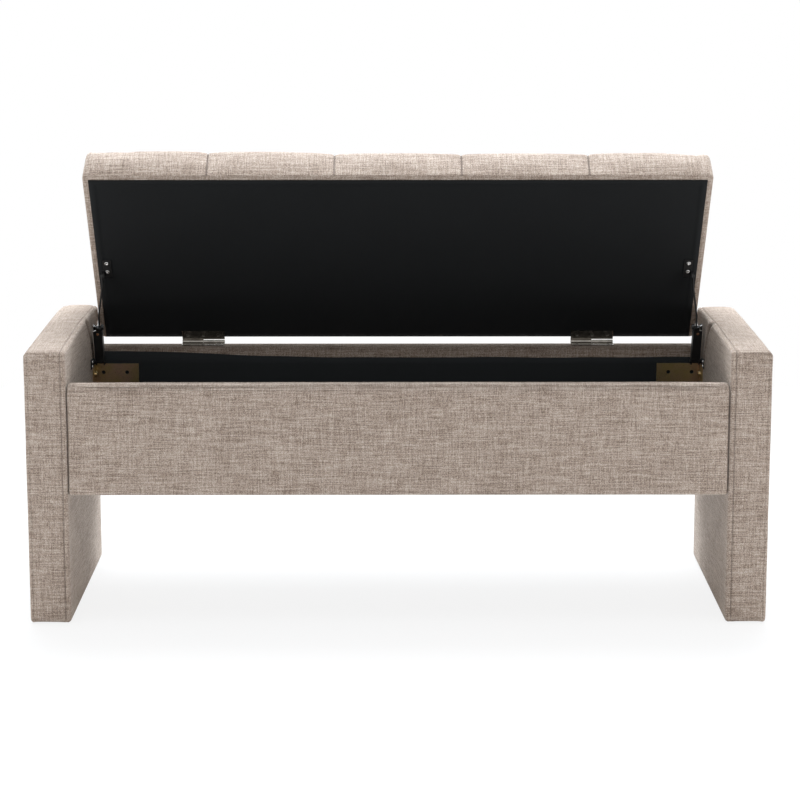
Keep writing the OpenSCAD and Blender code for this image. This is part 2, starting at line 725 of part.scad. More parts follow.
// A tube of one wire along a path; its rings turn with the path and never twist
module wire(path, d, sides) {
    n = len(path);
    first = unit(cross(along(path, 0), [0.3, 0.9, 0.1]));
    side_dirs = [for (i = 0, v = first; i < n; i = i + 1,
        v = i < n ? unit(v - (v * along(path, i)) * along(path, i)) : v) v];
    points = [for (i = [0:n - 1]) let (u = side_dirs[i], w = cross(along(path, i), u))
        for (k = [0:sides - 1]) path[i] + d / 2 * (cos(360 * k / sides) * u + sin(360 * k / sides) * w)];
    walls = [for (i = [0:n - 2]) for (k = [0:sides - 1])
        let (a = i * sides + k, b = i * sides + (k + 1) % sides)
        each [[a, a + sides, b + sides], [a, b + sides, b]]];
    polyhedron(points, concat([[for (k = [0:sides - 1]) k]], walls,
        [[for (k = [sides - 1:-1:0]) (n - 1) * sides + k]]), convexity = 8);
}

// Least clear distance between turns of the spring that aren't neighbours
spring_gap = min([for (i = [2:len(spring_path) - 7]) for (j = [i + 6:len(spring_path) - 1])
    norm(spring_path[i] - spring_path[j])]) - wire_d;
echo("least gap between the spring's turns, mm", spring_gap);

module stay_spring(side) {
    color(bright) at_side(side) on_lower_arm() wire(spring_path, wire_d, 6);
}

// Flat upper arm from the lid's bracket down to the elbow, bent sideways between
module stay_arm(side) {
    half = arm_w / 2;
    elbow_eye_r = 4.5;
    color(black) at_side(side)
        translate([0, lid_pivot.x, lid_pivot.y]) rotate([upper_arm_turn, 0, 0]) difference() {
            intersection() {
                translate([0, -half, 0]) rotate([-90, 0, 0]) linear_extrude(height = arm_w)
                    polygon([for (s = [-1, 1]) each let (
                        line = [[arm_top_x, -half - 1], [arm_top_x, 16],
                            [arm_low_x, upper_arm_l - 22], [arm_low_x, upper_arm_l + half + 1]],
                        run = s < 0 ? line : [for (i = [3:-1:0]) line[i]])
                        [for (p = run) [p.x + s * arm_t / 2, p.y]]]);
                union() {
                    rod_x([-bench_w / 2, 0, 0], half, bench_w);
                    rod_x([-bench_w / 2, 0, -upper_arm_l], elbow_eye_r, bench_w);
                    rotate([0, 90, 0]) linear_extrude(height = bench_w, center = true)
                        polygon([[0, -half], [0, half], [upper_arm_l, elbow_eye_r],
                            [upper_arm_l, -elbow_eye_r]]);
                }
            }
            rod_x([arm_top_x - 10, 0, 0], stay_pin_r + run_gap, 20);
        }
}

// Foot: a plate screwed to the end, with an arm back to the pivot
foot_tab = [foot_pivot.x - 33, foot_pivot.y - 8];
foot_tab_size = [22, 17];
foot_screw_y = foot_tab.x + 6;
foot_screw_z = [foot_tab.y + 4.3, foot_tab.y + 12.7];
module stay_foot(side) {
    color(black) at_side(side) difference() {
        union() {
            translate([-inner_x, foot_tab.x, foot_tab.y])
                cube([foot_plate_t, foot_tab_size.x, foot_tab_size.y]);
            translate([-inner_x, foot_tab.x + 10, foot_pivot.y - 6])
                cube([foot_plate_t, foot_pivot.x - foot_tab.x - 10, 12]);
            rod_x([-inner_x, foot_pivot.x, foot_pivot.y], 6, foot_plate_t);
            rod_x([-inner_x, foot_pivot.x, foot_pivot.y], 4, channel_out - 0.5 + inner_x);
        }
        rod_x([-inner_x - 1, foot_pivot.x, foot_pivot.y], stay_pin_r, 20);
        for (z = foot_screw_z) rod_x([-inner_x - 1, foot_screw_y, z], 2, foot_plate_t + 2);
    }
}

module foot_pin(side) {
    color(black) at_side(side) {
        rod_x([-inner_x, foot_pivot.x, foot_pivot.y], stay_pin_r, channel_in + 0.5 + inner_x);
        rod_x([channel_in + 0.4, foot_pivot.x, foot_pivot.y], 4, 1.8);
    }
}

module stay_foot_screws() {
    color(bright) for (side = [-1, 1]) at_side(side) for (z = foot_screw_z) {
        rod_x([-inner_x - foot_screw_l, foot_screw_y, z], 1.8, foot_screw_l + foot_plate_t + 0.5);
        rod_x([-inner_x + foot_plate_t, foot_screw_y, z], 3.6, 1.8);
    }
}

// Bracket on the lid's underside: a plate with two screws and an ear for the pivot
lid_plate_w = 15;
lid_plate_t = 1.5;
lid_screw_y = [axis_y - lid_pivot_reach - 5, axis_y - lid_pivot_reach - 24];
module stay_lid_bracket(side) {
    pivot_y = axis_y - lid_pivot_reach;
    pivot_z = lid_under_z - lid_pivot_drop;
    color(black) at_side(side) on_lid() difference() {
        union() {
            translate([ear_x, pivot_y - 31, lid_under_z - lid_plate_t])
                cube([lid_plate_w, 38, lid_plate_t]);
            translate([ear_x, pivot_y - 6.6, pivot_z]) cube([ear_t, 13.2, lid_pivot_drop - 0.1]);
            rod_x([ear_x, pivot_y, pivot_z], 7, ear_t);
        }
        rod_x([ear_x - 1, pivot_y, pivot_z], stay_pin_r, ear_t + 2);
        for (y = lid_screw_y) translate([ear_x + lid_plate_w / 2, y, lid_under_z - lid_plate_t - 1])
            cylinder(r = 2, h = lid_plate_t + 2);
    }
}

module lid_pin(side) {
    pivot_y = axis_y - lid_pivot_reach;
    pivot_z = lid_under_z - lid_pivot_drop;
    color(black) at_side(side) on_lid() {
        rod_x([arm_top_x - arm_t / 2 - 0.4, pivot_y, pivot_z], stay_pin_r,
            ear_x + ear_t + 1.6 - arm_top_x + arm_t / 2);
        rod_x([arm_top_x - arm_t / 2 - 2, pivot_y, pivot_z], 4, 1.7);
    }
}

module stay_lid_screws() {
    color(bright) for (side = [-1, 1]) at_side(side) on_lid() for (y = lid_screw_y)
        translate([ear_x + lid_plate_w / 2, y, 0]) {
            translate([0, 0, lid_under_z - lid_plate_t - 0.5]) cylinder(r = 1.8, h = bracket_screw_l);
            translate([0, 0, lid_under_z - lid_plate_t - 1.8]) cylinder(r = 3.6, h = 1.8);
        }
}

end_core(-1);  // left_end_core
end_core(1);  // right_end_core
end_padding(-1);  // left_end_padding
end_padding(1);  // right_end_padding
end_cover(-1);  // left_end_cover
end_cover(1);  // right_end_cover
floor_glides();
front_board();
front_padding();
front_cover();
front_lining();
back_board();
back_cover();
back_lining();
floor_board();
floor_lining();
floor_battens();
dust_cloths();
angle_bracket(-1, 1);  // back_left_bracket
angle_bracket(1, 1);  // back_right_bracket
angle_bracket(-1, 0);  // front_left_bracket
angle_bracket(1, 0);  // front_right_bracket
bracket_bolts();
bracket_screws();
rail_leaf(-1);  // left_hinge_rail_leaf
rail_leaf(1);  // right_hinge_rail_leaf
hinge_pin(-1);  // left_hinge_pin
hinge_pin(1);  // right_hinge_pin
hinge_screws(0, rail_screw_l);  // hinge_rail_screws
stay_foot(-1);  // left_stay_foot
stay_foot(1);  // right_stay_foot
foot_pin(-1);  // left_foot_pin
foot_pin(1);  // right_foot_pin
stay_foot_screws();
lid_board();
lid_foam();
lid_cover();
lid_lining();
lid_leaf(-1);  // left_hinge_lid_leaf
lid_leaf(1);  // right_hinge_lid_leaf
on_lid() hinge_screws(1, lid_screw_l);  // hinge_lid_screws
stay_lid_bracket(-1);  // left_stay_lid_bracket
stay_lid_bracket(1);  // right_stay_lid_bracket
lid_pin(-1);  // left_lid_pin
lid_pin(1);  // right_lid_pin
stay_lid_screws();
stay_channel(-1);  // left_stay_channel
stay_channel(1);  // right_stay_channel
elbow_rivet(-1);  // left_elbow_rivet
elbow_rivet(1);  // right_elbow_rivet
stay_spring(-1);  // left_stay_spring
stay_spring(1);  // right_stay_spring
stay_arm(-1);  // left_stay_arm
stay_arm(1);  // right_stay_arm
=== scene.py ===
# %% [markdown]
# # Storage ottoman with a tufted lid
# The real object is a long bench that is also a chest. Two upholstered slab ends stand on the floor, a box
# hangs between them, and a stitched lid swings up on two plate hinges, held by a folding stay at each end.
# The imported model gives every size, so each new piece is drawn in metres right where its solid is. Depths
# are given in millimetres behind the front face.

# %% Load the frame
import math
import bmesh
import bpy
from mathutils import Matrix, Vector, noise


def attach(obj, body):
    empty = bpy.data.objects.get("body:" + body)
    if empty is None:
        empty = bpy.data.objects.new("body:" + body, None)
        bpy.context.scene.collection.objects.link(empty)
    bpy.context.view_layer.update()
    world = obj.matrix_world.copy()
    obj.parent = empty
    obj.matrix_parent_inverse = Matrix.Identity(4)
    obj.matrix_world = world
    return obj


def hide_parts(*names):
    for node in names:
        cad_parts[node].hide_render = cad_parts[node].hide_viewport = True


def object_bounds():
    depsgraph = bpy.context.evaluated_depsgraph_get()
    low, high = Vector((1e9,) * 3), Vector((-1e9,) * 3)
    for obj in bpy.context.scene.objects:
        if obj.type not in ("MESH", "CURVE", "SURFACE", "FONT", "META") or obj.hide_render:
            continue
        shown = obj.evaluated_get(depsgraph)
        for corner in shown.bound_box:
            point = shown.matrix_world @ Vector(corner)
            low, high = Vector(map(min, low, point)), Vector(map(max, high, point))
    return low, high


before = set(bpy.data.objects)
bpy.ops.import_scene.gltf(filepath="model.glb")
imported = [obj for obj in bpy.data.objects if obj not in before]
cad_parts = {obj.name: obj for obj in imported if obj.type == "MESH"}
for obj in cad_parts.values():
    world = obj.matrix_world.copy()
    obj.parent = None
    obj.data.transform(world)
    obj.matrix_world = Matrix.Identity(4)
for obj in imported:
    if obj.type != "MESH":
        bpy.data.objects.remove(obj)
solid_box = [list(corner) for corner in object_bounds()]
front_y = solid_box[0][1]
side_word = {-1: "left", 1: "right"}

# The vector noise shifts its pattern at random, so a fixed seed keeps the shapes the same in every run.
noise.seed_set(1)


def behind(depth):
    return front_y + depth / 1000


scene = bpy.context.scene
scene.view_settings.view_transform = "Standard"
print("solid box:", solid_box)

# %% [markdown]
# ## Camera
# The photograph was taken from a little above and far back, with a long lens, so the uprights stay nearly
# parallel. A large shift of the lens could keep them fully upright, but it would cut the bench off in other
# views. A slight downward tilt with a small shift fits the edges of the photograph within a few pixels.

# %% Camera
camera_aside, camera_distance, camera_height = -0.009, 3.372, 1.141
tilt_down, turn_aside = 9.04, -0.20
camera_data = bpy.data.cameras.new("camera")
camera_data.sensor_width = 36
camera_data.lens = 95.22
camera_data.shift_y = -0.17
camera = bpy.data.objects.new("camera", camera_data)
camera.location = (camera_aside, front_y - camera_distance, camera_height)
camera.rotation_euler = (math.radians(90 - tilt_down), 0, math.radians(turn_aside))
scene.collection.objects.link(camera)
scene.camera = camera
print("camera at", list(camera.location))

# %% [markdown]
# ## Node helpers
# Every finish here is a small network of nodes. A few helpers keep the cells short: they add a node with
# its settings and links, do one step of arithmetic, mix two colours, make a grey, start a finish, and raise
# its surface with a bump.

# %% Node helpers
def add_node(tree, kind, inputs=None, **settings):
    made = tree.nodes.new("ShaderNode" + kind)
    for key, value in settings.items():
        setattr(made, key, value)
    for key, value in (inputs or {}).items():
        if isinstance(value, bpy.types.NodeSocket):
            tree.links.new(value, made.inputs[key])
        else:
            made.inputs[key].default_value = value
    return made


def maths(tree, operation, a, b=0.0):
    return add_node(tree, "Math", {0: a, 1: b}, operation=operation).outputs[0]


def blend_colours(tree, amount, first, second, blend_type="MIX"):
    made = add_node(tree, "Mix", {0: amount, 6: first, 7: second}, data_type="RGBA", blend_type=blend_type)
    return made.outputs[2]


def grey_of(tree, value):
    return add_node(tree, "CombineColor", {0: value, 1: value, 2: value}).outputs[0]


def new_finish(name, **shader_values):
    material = bpy.data.materials.new(name)
    material.use_nodes = True
    tree = material.node_tree
    shader = tree.nodes["Principled BSDF"]
    for key, value in shader_values.items():
        shader.inputs[key.replace("_", " ")].default_value = value
    return material, tree, shader


def raise_surface(tree, shader, height, strength, distance):
    bump = add_node(tree, "Bump", {"Height": height, "Strength": strength, "Distance": distance})
    tree.links.new(bump.outputs[0], shader.inputs["Normal"])

# %% [markdown]
# ## Studio
# The bench stands on a white floor in soft light. The lamps give the shading, and the white of the
# background comes from the world and the floor as the camera and shiny surfaces see them, not from more
# light.

# %% Studio world
room_strength = 0.53
world = bpy.data.worlds.new("studio")
scene.world = world
world.use_nodes = True
sky = world.node_tree
sky.nodes.clear()
ray = add_node(sky, "LightPath")
seen = maths(sky, "MAXIMUM", ray.outputs["Is Camera Ray"], ray.outputs["Is Transmission Ray"])
seen = maths(sky, "MAXIMUM", seen, ray.outputs["Is Glossy Ray"])
room_light = add_node(sky, "Background", {"Color": (1.0, 0.992, 0.98, 1), "Strength": room_strength})
white_wall = add_node(sky, "Background", {"Color": (1, 1, 1, 1), "Strength": 1.0})
chosen = add_node(sky, "MixShader", {0: seen, 1: room_light.outputs[0], 2: white_wall.outputs[0]})
add_node(sky, "OutputWorld", {"Surface": chosen.outputs[0]})
print("room light:", room_strength)

# %% Studio lamps
def softbox(name, place, aim, size, power, tint=(1, 1, 1)):
    data = bpy.data.lights.new(name, "AREA")
    data.shape = "RECTANGLE"
    data.size, data.size_y = size
    data.energy = power
    data.color = tint
    lamp = bpy.data.objects.new(name, data)
    lamp.location = place
    lamp.rotation_euler = (Vector(aim) - Vector(place)).to_track_quat("-Z", "Y").to_euler()
    scene.collection.objects.link(lamp)


daylight = (0.87, 0.935, 1.0)
softbox("high_back", (0, 1.2, 2.65), (0, 0, 0.3), (3.0, 1.6), 150, daylight)
softbox("far_back", (0, 2.3, 2.0), (0, 0, 0.4), (3.0, 1.2), 40, daylight)
softbox("overhead", (0, 0.1, 2.9), (0, 0.1, 0.3), (3.0, 1.6), 30, daylight)
softbox("front_up", (0, -0.75, 2.9), (0, -0.1, 0.3), (3.0, 0.8), 14, daylight)
low_height, low_aim, low_size = 0.24, (0, -0.1, 0.2), (1.8, 0.4)
softbox("left_side", (-3.1, -1.35, low_height), low_aim, low_size, 15)
softbox("right_side", (3.1, -1.35, low_height), low_aim, low_size, 15)
softbox("left_low", (-2.7, -1.9, low_height), low_aim, low_size, 5)
softbox("right_low", (2.7, -1.9, low_height), low_aim, low_size, 10)

# %% Finish of the studio floor
fade_start, fade_end = 0.8, 1.9
floor_finish, floor_tree, floor_shader = new_finish("floor_paint", Roughness=0.85)
speckle = add_node(floor_tree, "TexNoise", {"Scale": 3.0, "Detail": 2.0}).outputs[0]
pale = add_node(floor_tree, "MapRange", {"Value": speckle, "To Min": 0.86, "To Max": 0.88}).outputs[0]
floor_tree.links.new(grey_of(floor_tree, pale), floor_shader.inputs["Base Color"])
floor_place = add_node(floor_tree, "TexCoord").outputs["Object"]
from_bench = add_node(floor_tree, "VectorMath", {0: floor_place}, operation="LENGTH").outputs["Value"]
far_off = add_node(floor_tree, "MapRange", {"Value": from_bench, "From Min": fade_start,
                                            "From Max": fade_end, "To Min": 0.84}).outputs[0]
floor_ray = add_node(floor_tree, "LightPath").outputs
floor_seen = maths(floor_tree, "MAXIMUM", floor_ray["Is Camera Ray"], floor_ray["Is Glossy Ray"])
whiter = maths(floor_tree, "MULTIPLY", floor_seen, far_off)
white_floor = add_node(floor_tree, "Emission", {"Color": (1, 1, 1, 1), "Strength": 1.0}).outputs[0]
floor_mix = add_node(floor_tree, "MixShader", {0: whiter, 1: floor_shader.outputs[0], 2: white_floor})
floor_tree.links.new(floor_mix.outputs[0], floor_tree.nodes["Material Output"].inputs["Surface"])
print("floor finish:", floor_finish.name)

# %% Studio floor
floor_mesh = bmesh.new()
bmesh.ops.create_grid(floor_mesh, x_segments=4, y_segments=4, size=12)
floor_data = bpy.data.meshes.new("studio_floor")
floor_mesh.to_mesh(floor_data)
floor_mesh.free()
floor_data.materials.append(floor_finish)
studio_floor = bpy.data.objects.new("studio_floor", floor_data)
scene.collection.objects.link(studio_floor)
print("floor:", list(studio_floor.dimensions))

# %% [markdown]
# ## Linen-look cloth
# The cover is a plain weave of mottled yarns. Each yarn runs lighter and darker along its length, so the
# cloth shows short level streaks and fainter upright ones. An image of cloth would be the quick way, but a
# network that counts the yarns both ways works at any size and leaves no repeats.

# %% Yarns of the cloth
yarn_pitch = 0.00105
drift_reach = 0.0016


def wandering_place(tree):
    place = add_node(tree, "UVMap", uv_map="cloth").outputs[0]
    drift = add_node(tree, "TexNoise", {"Vector": place, "Scale": 16.0, "Detail": 1.0}).outputs[1]
    drift = add_node(tree, "VectorMath", {0: drift, 1: (0.5, 0.5, 0.5)}, operation="SUBTRACT").outputs[0]
    drift = add_node(tree, "VectorMath", {0: drift, "Scale": drift_reach}, operation="SCALE").outputs[0]
    return add_node(tree, "VectorMath", {0: place, 1: drift}, operation="ADD").outputs[0]


def yarn_tone(tree, yarn, along, stretch, seed):
    where = add_node(tree, "CombineXYZ", {0: maths(tree, "MULTIPLY", yarn, 7.31),
                                          1: maths(tree, "MULTIPLY", along, stretch), 2: seed})
    return add_node(tree, "TexNoise", {"Vector": where.outputs[0], "Scale": 1.0, "Detail": 1.0,
                                       "Roughness": 0.35}).outputs[0]


def around_zero(tree, value, share):
    return maths(tree, "MULTIPLY", maths(tree, "SUBTRACT", value, 0.5), share)


print("yarns per metre:", round(1 / yarn_pitch))

# %% Weave of the cloth
def weave_tone(tree, place):
    split = add_node(tree, "SeparateXYZ", {0: place})
    across = maths(tree, "DIVIDE", split.outputs[0], yarn_pitch)
    upward = maths(tree, "DIVIDE", split.outputs[1], yarn_pitch)
    warp, weft = maths(tree, "FLOOR", across), maths(tree, "FLOOR", upward)
    warp_tone = yarn_tone(tree, warp, split.outputs[1], 38.0, 3.7)
    warp_tone = add_node(tree, "MapRange", {"Value": warp_tone, "To Min": 0.16, "To Max": 0.84}).outputs[0]
    weft_tone = yarn_tone(tree, weft, split.outputs[0], 24.0, 9.2)
    crossing = maths(tree, "FRACT", maths(tree, "MULTIPLY", maths(tree, "ADD", warp, weft), 0.5))
    warp_shows = maths(tree, "SUBTRACT", 1.0, maths(tree, "GREATER_THAN", crossing, 0.25))
    difference = maths(tree, "SUBTRACT", warp_tone, weft_tone)
    tone = maths(tree, "ADD", maths(tree, "MULTIPLY", difference, warp_shows), weft_tone)
    cell = add_node(tree, "CombineXYZ", {0: warp, 1: weft}).outputs[0]
    fleck = add_node(tree, "TexWhiteNoise", {"Vector": cell}, noise_dimensions="2D").outputs[0]
    cloudy = add_node(tree, "TexNoise", {"Vector": place, "Scale": 14.0, "Detail": 3.0}).outputs[0]
    tone = maths(tree, "ADD", tone, around_zero(tree, fleck, 0.26))
    tone = maths(tree, "ADD", tone, around_zero(tree, cloudy, 0.10))
    hump = maths(tree, "MULTIPLY", maths(tree, "SINE", maths(tree, "MULTIPLY", across, math.pi)),
                 maths(tree, "SINE", maths(tree, "MULTIPLY", upward, math.pi)))
    return tone, maths(tree, "ABSOLUTE", hump)

# %% Linen-look cloth
# Colour of the painted shade in seams, creases and tucks.
painted_shade_colour = (0.06, 0.042, 0.033, 1)


def linen_cloth(name, dark, middle, light):
    material, tree, shader = new_finish(name, Roughness=0.9, Specular_IOR_Level=0.2,
                                        Sheen_Weight=0.35, Sheen_Roughness=0.45,
                                        Sheen_Tint=(1.0, 0.9, 0.8, 1.0))
    tone, hump = weave_tone(tree, wandering_place(tree))
    ramp = add_node(tree, "ValToRGB", {0: tone})
    stops = ramp.color_ramp.elements
    stops[0].position, stops[1].position = 0.30, 0.70
    stops[0].color, stops[1].color = (*dark, 1), (*light, 1)
    stops.new(0.5).color = (*middle, 1)
    # Painted shade darkens the gaps between the yarns, and painted light brightens their tops a little.
    yarn_gap_shade = add_node(tree, "MapRange", {"Value": hump, "To Min": 0.72, "To Max": 1.12}).outputs[0]
    colour = blend_colours(tree, 1.0, ramp.outputs[0], grey_of(tree, yarn_gap_shade), "MULTIPLY")
    # Seams, creases and tucks are darkened here by painted shade from their layer.
    painted_shade = add_node(tree, "Attribute", attribute_name="painted_shade").outputs["Fac"]
    colour = blend_colours(tree, maths(tree, "MULTIPLY", painted_shade, 0.75), colour, painted_shade_colour)
    tree.links.new(colour, shader.inputs["Base Color"])
    height = maths(tree, "ADD", maths(tree, "MULTIPLY", hump, 0.7), maths(tree, "MULTIPLY", tone, 0.9))
    raise_surface(tree, shader, height, 0.55, 0.0004)
    return material


taupe_linen = linen_cloth("taupe_linen", (0.175, 0.127, 0.098), (0.385, 0.300, 0.244), (0.64, 0.545, 0.47))
print("nodes in the linen:", len(taupe_linen.node_tree.nodes))

# %% [markdown]
# ## Black lining cloth
# The inside is lined with a thin, dull black cloth. It needs only a faint weave and a trace of dust to
# stop it reading as a hole. The linings inside the box are the same cloth drawn lighter, as painted light.

# %% Black lining cloth
def lining_cloth(name, colour, dusty):
    material, tree, shader = new_finish(name, Roughness=0.8, Specular_IOR_Level=0.22, Sheen_Weight=0.015)
    place = add_node(tree, "UVMap", uv_map="cloth").outputs[0]
    threads = {"Vector": place, "Scale": 150.0, "Distortion": 1.2, "Detail": 1.0, "Detail Scale": 3.0}
    ribs, rows = (add_node(tree, "TexWave", threads, bands_direction=axis).outputs[1] for axis in "XY")
    ribbed = maths(tree, "MULTIPLY", ribs, rows)
    cloudy = add_node(tree, "TexNoise", {"Vector": place, "Scale": 9.0, "Detail": 4.0}).outputs[0]
    amount = maths(tree, "MULTIPLY", maths(tree, "ADD", ribbed, cloudy), 0.5)
    tree.links.new(blend_colours(tree, amount, (*colour, 1), (*dusty, 1)), shader.inputs["Base Color"])
    raise_surface(tree, shader, ribbed, 0.5, 0.0002)
    return material


black_lining = lining_cloth("black_lining", (0.0035, 0.0041, 0.0046), (0.0075, 0.0086, 0.0095))
# The box's inner linings: the same black cloth drawn lighter, as painted light for the inside of the box.
box_lining_painted_light = lining_cloth("box_lining_painted_light", (0.012, 0.0138, 0.0152), (0.024, 0.0275, 0.030))
dust_cover = lining_cloth("dust_cover", (0.012, 0.012, 0.013), (0.026, 0.026, 0.027))
print("linings:", [made.name for made in (black_lining, box_lining_painted_light, dust_cover)])

# %% [markdown]
# ## Metals, timber and nylon
# The fittings have several finishes: nickel on the hinges and a duller nickel on their screws, yellow zinc
# on the angle brackets and their screws, black paint on the stays, bright bare wire, the same wire drawn
# darker on the springs as painted shade inside their channels, and copper on two rivets. Each gets its own
# gloss, with small changes over its surface from handling and plating.

# %% Metals
def metal(name, base, worn, metallic, roughness, grain, bump_depth, patch=70.0):
    material, tree, shader = new_finish(name, Metallic=metallic, Roughness=roughness)
    place = add_node(tree, "TexCoord").outputs["Object"]
    patches = add_node(tree, "TexNoise", {"Vector": place, "Scale": patch, "Detail": 4.0}).outputs[0]
    fine = add_node(tree, "TexNoise", {"Vector": place, "Scale": grain, "Detail": 2.0}).outputs[0]
    amount = add_node(tree, "MapRange", {"Value": patches, "From Min": 0.38, "From Max": 0.66}).outputs[0]
    tree.links.new(blend_colours(tree, amount, (*base, 1), (*worn, 1)), shader.inputs["Base Color"])
    gloss = add_node(tree, "MapRange", {"Value": fine, "To Min": roughness - 0.1, "To Max": roughness + 0.12})
    tree.links.new(gloss.outputs[0], shader.inputs["Roughness"])
    raise_surface(tree, shader, fine, 0.3, bump_depth)
    return material


nickel_plate = metal("nickel_plate", (0.36, 0.34, 0.31), (0.24, 0.225, 0.205), 1.0, 0.2, 500.0, 0.00003)
screw_plate = metal("screw_plate", (0.30, 0.285, 0.26), (0.16, 0.15, 0.14), 1.0, 0.3, 900.0, 0.00005)
yellow_zinc = metal("yellow_zinc", (0.62, 0.43, 0.31), (0.56, 0.45, 0.21), 1.0, 0.3, 700.0, 0.0001, 26.0)
black_paint = metal("black_paint", (0.004, 0.004, 0.0045), (0.010, 0.0098, 0.0095), 0.0, 0.5, 1200.0, 0.0001)
# The spring is the same wire as the bright hooks, drawn darker as painted shade inside the stay's channel.
spring_wire_painted_shade = metal("spring_wire_painted_shade", (0.05, 0.048, 0.045), (0.02, 0.02, 0.02), 1.0, 0.35, 900.0, 0.0001)
bright_wire = metal("bright_wire", (0.80, 0.80, 0.79), (0.66, 0.66, 0.65), 1.0, 0.25, 900.0, 0.0001)
copper_rivet = metal("copper_rivet", (0.62, 0.33, 0.19), (0.42, 0.22, 0.13), 1.0, 0.28, 900.0, 0.0001)
print("materials so far:", len(bpy.data.materials))

# %% Timber, nylon and foam
def timber(name, early, late):
    material, tree, shader = new_finish(name, Roughness=0.7)
    place = add_node(tree, "TexCoord").outputs["Object"]
    drawn = add_node(tree, "Mapping", {"Vector": place, "Scale": (3.0, 40.0, 40.0)}).outputs[0]
    rings = add_node(tree, "TexNoise", {"Vector": drawn, "Scale": 4.0, "Detail": 6.0,
                                        "Distortion": 0.6}).outputs[0]
    amount = add_node(tree, "MapRange", {"Value": rings, "From Min": 0.35, "From Max": 0.65}).outputs[0]
    tree.links.new(blend_colours(tree, amount, (*early, 1), (*late, 1)), shader.inputs["Base Color"])
    raise_surface(tree, shader, rings, 0.4, 0.0005)
    return material


def moulded(name, light, dark, roughness, grain):
    material, tree, shader = new_finish(name, Roughness=roughness)
    place = add_node(tree, "TexCoord").outputs["Object"]
    grainy = add_node(tree, "TexNoise", {"Vector": place, "Scale": grain, "Detail": 3.0}).outputs[0]
    tree.links.new(blend_colours(tree, grainy, (*light, 1), (*dark, 1)), shader.inputs["Base Color"])
    raise_surface(tree, shader, grainy, 0.3, 0.0002)
    return material


board_wood = timber("board_wood", (0.48, 0.34, 0.20), (0.32, 0.20, 0.11))
black_nylon = moulded("black_nylon", (0.03, 0.03, 0.03), (0.012, 0.012, 0.012), 0.5, 500.0)
pale_foam = moulded("pale_foam", (0.72, 0.66, 0.50), (0.58, 0.52, 0.38), 0.95, 400.0)
print("materials in all:", len(bpy.data.materials))

# %% [markdown]
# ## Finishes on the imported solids
# The boards, fittings and screws already have their right shape, so they stay and only get a finish. It is
# found by the first of these words that is in the solid's name.

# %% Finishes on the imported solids
finish_of_word = {"spring": spring_wire_painted_shade, "hinge_lid_screws": screw_plate, "hinge_rail_screws": screw_plate,
                  "screws": bright_wire, "hinge": nickel_plate, "stay": black_paint, "pin": black_paint,
                  "rivet": black_paint, "bracket": yellow_zinc, "board": board_wood, "core": board_wood,
                  "battens": board_wood, "glides": black_nylon, "lining": black_lining,
                  "cloths": black_lining, "cover": taupe_linen, "foam": pale_foam, "padding": pale_foam}
for name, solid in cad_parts.items():
    finish = next(made for word, made in finish_of_word.items() if word in name)
    for place in solid.material_slots:
        place.material = finish
print("finished solids:", len(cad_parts))

# %% [markdown]
# ## Helpers for upholstered blocks
# An upholstered part is a block with soft edges. It starts as a cube of the right size, its edges are
# bevelled, and plane cuts give it an even grid that can be moved and swelled. A seam is pulled inwards and
# its groove is marked with painted shade, which the cloth's finish shows darker.

# %% Blocks, bevels and cuts
def block(low, high):
    bm = bmesh.new()
    # Each block carries a layer of painted shade for its seams, creases and tucks.
    bm.verts.layers.float.new("painted_shade")
    bmesh.ops.create_cube(bm, size=1)
    low, high = Vector(low), Vector(high)
    bmesh.ops.scale(bm, vec=high - low, verts=bm.verts)
    bmesh.ops.translate(bm, vec=(low + high) / 2, verts=bm.verts)
    return bm


def round_edges(bm, wanted, radius, segments=3):
    edges = [edge for edge in bm.edges if wanted(*(end.co for end in edge.verts))]
    bmesh.ops.bevel(bm, geom=edges, offset=radius, offset_type="OFFSET", affect="EDGES", segments=segments,
                    profile=0.5, material=-1)


def cut_across(bm, axis, places, within=None):
    square = Vector((axis == 0, axis == 1, axis == 2))
    for place in places:
        faces = [f for f in bm.faces if within is None or within(f.calc_center_median())]
        parts = set(faces)
        for face in faces:
            parts.update(face.edges)
            parts.update(face.verts)
        bmesh.ops.bisect_plane(bm, geom=list(parts), dist=1e-6, plane_co=square * place, plane_no=square)


def evenly(low, high, step):
    count = max(1, round((high - low) / step))
    return [low + (high - low) * i / count for i in range(1, count)]


def ease(value):
    value = min(1.0, max(0.0, value))
    return value * value * (3 - 2 * value)

# %% Seams and the cloth's lie
def sew_line(bm, axis, place, depth, half_width, within, shade=1.0):
    cut_across(bm, axis, [place - half_width, place - 0.4 * half_width, place, place + 0.4 * half_width,
                          place + half_width], within)
    bm.normal_update()
    pulled = []
    for vert in bm.verts:
        away = abs(vert.co[axis] - place) / half_width
        if away < 0.99 and within(vert.co):
            pulled.append((vert, vert.normal.copy(), depth * (1 - away) ** 0.7))
    painted_shade = bm.verts.layers.float["painted_shade"]
    for vert, outward, pull in pulled:
        vert.co -= outward * pull
        # The seam's groove is darkened by painted shade, scaled by shade.
        vert[painted_shade] = max(vert[painted_shade], shade * pull / depth)


def lay_cloth(bm):
    bm.normal_update()
    weave = bm.loops.layers.uv.new("cloth")
    for face in bm.faces:
        sizes = [abs(part) for part in face.normal]
        side = sizes.index(max(sizes))
        for loop in face.loops:
            x, y, z = loop.vert.co
            loop[weave].uv = ((y, z), (x, z), (x, y))[side]

# %% [markdown]
# ## Swelling a pad
# Foam under a cover pushes the cloth out wherever nothing holds it. Moving vertices by a formula would
# look too even, so a short cloth simulation with inner pressure and no gravity does it, and how far any
# point may travel is capped. Points that are stapled down or sewn through are held still.

# %% Swelling a pad
foam_pressure, last_step = 4.0, 20


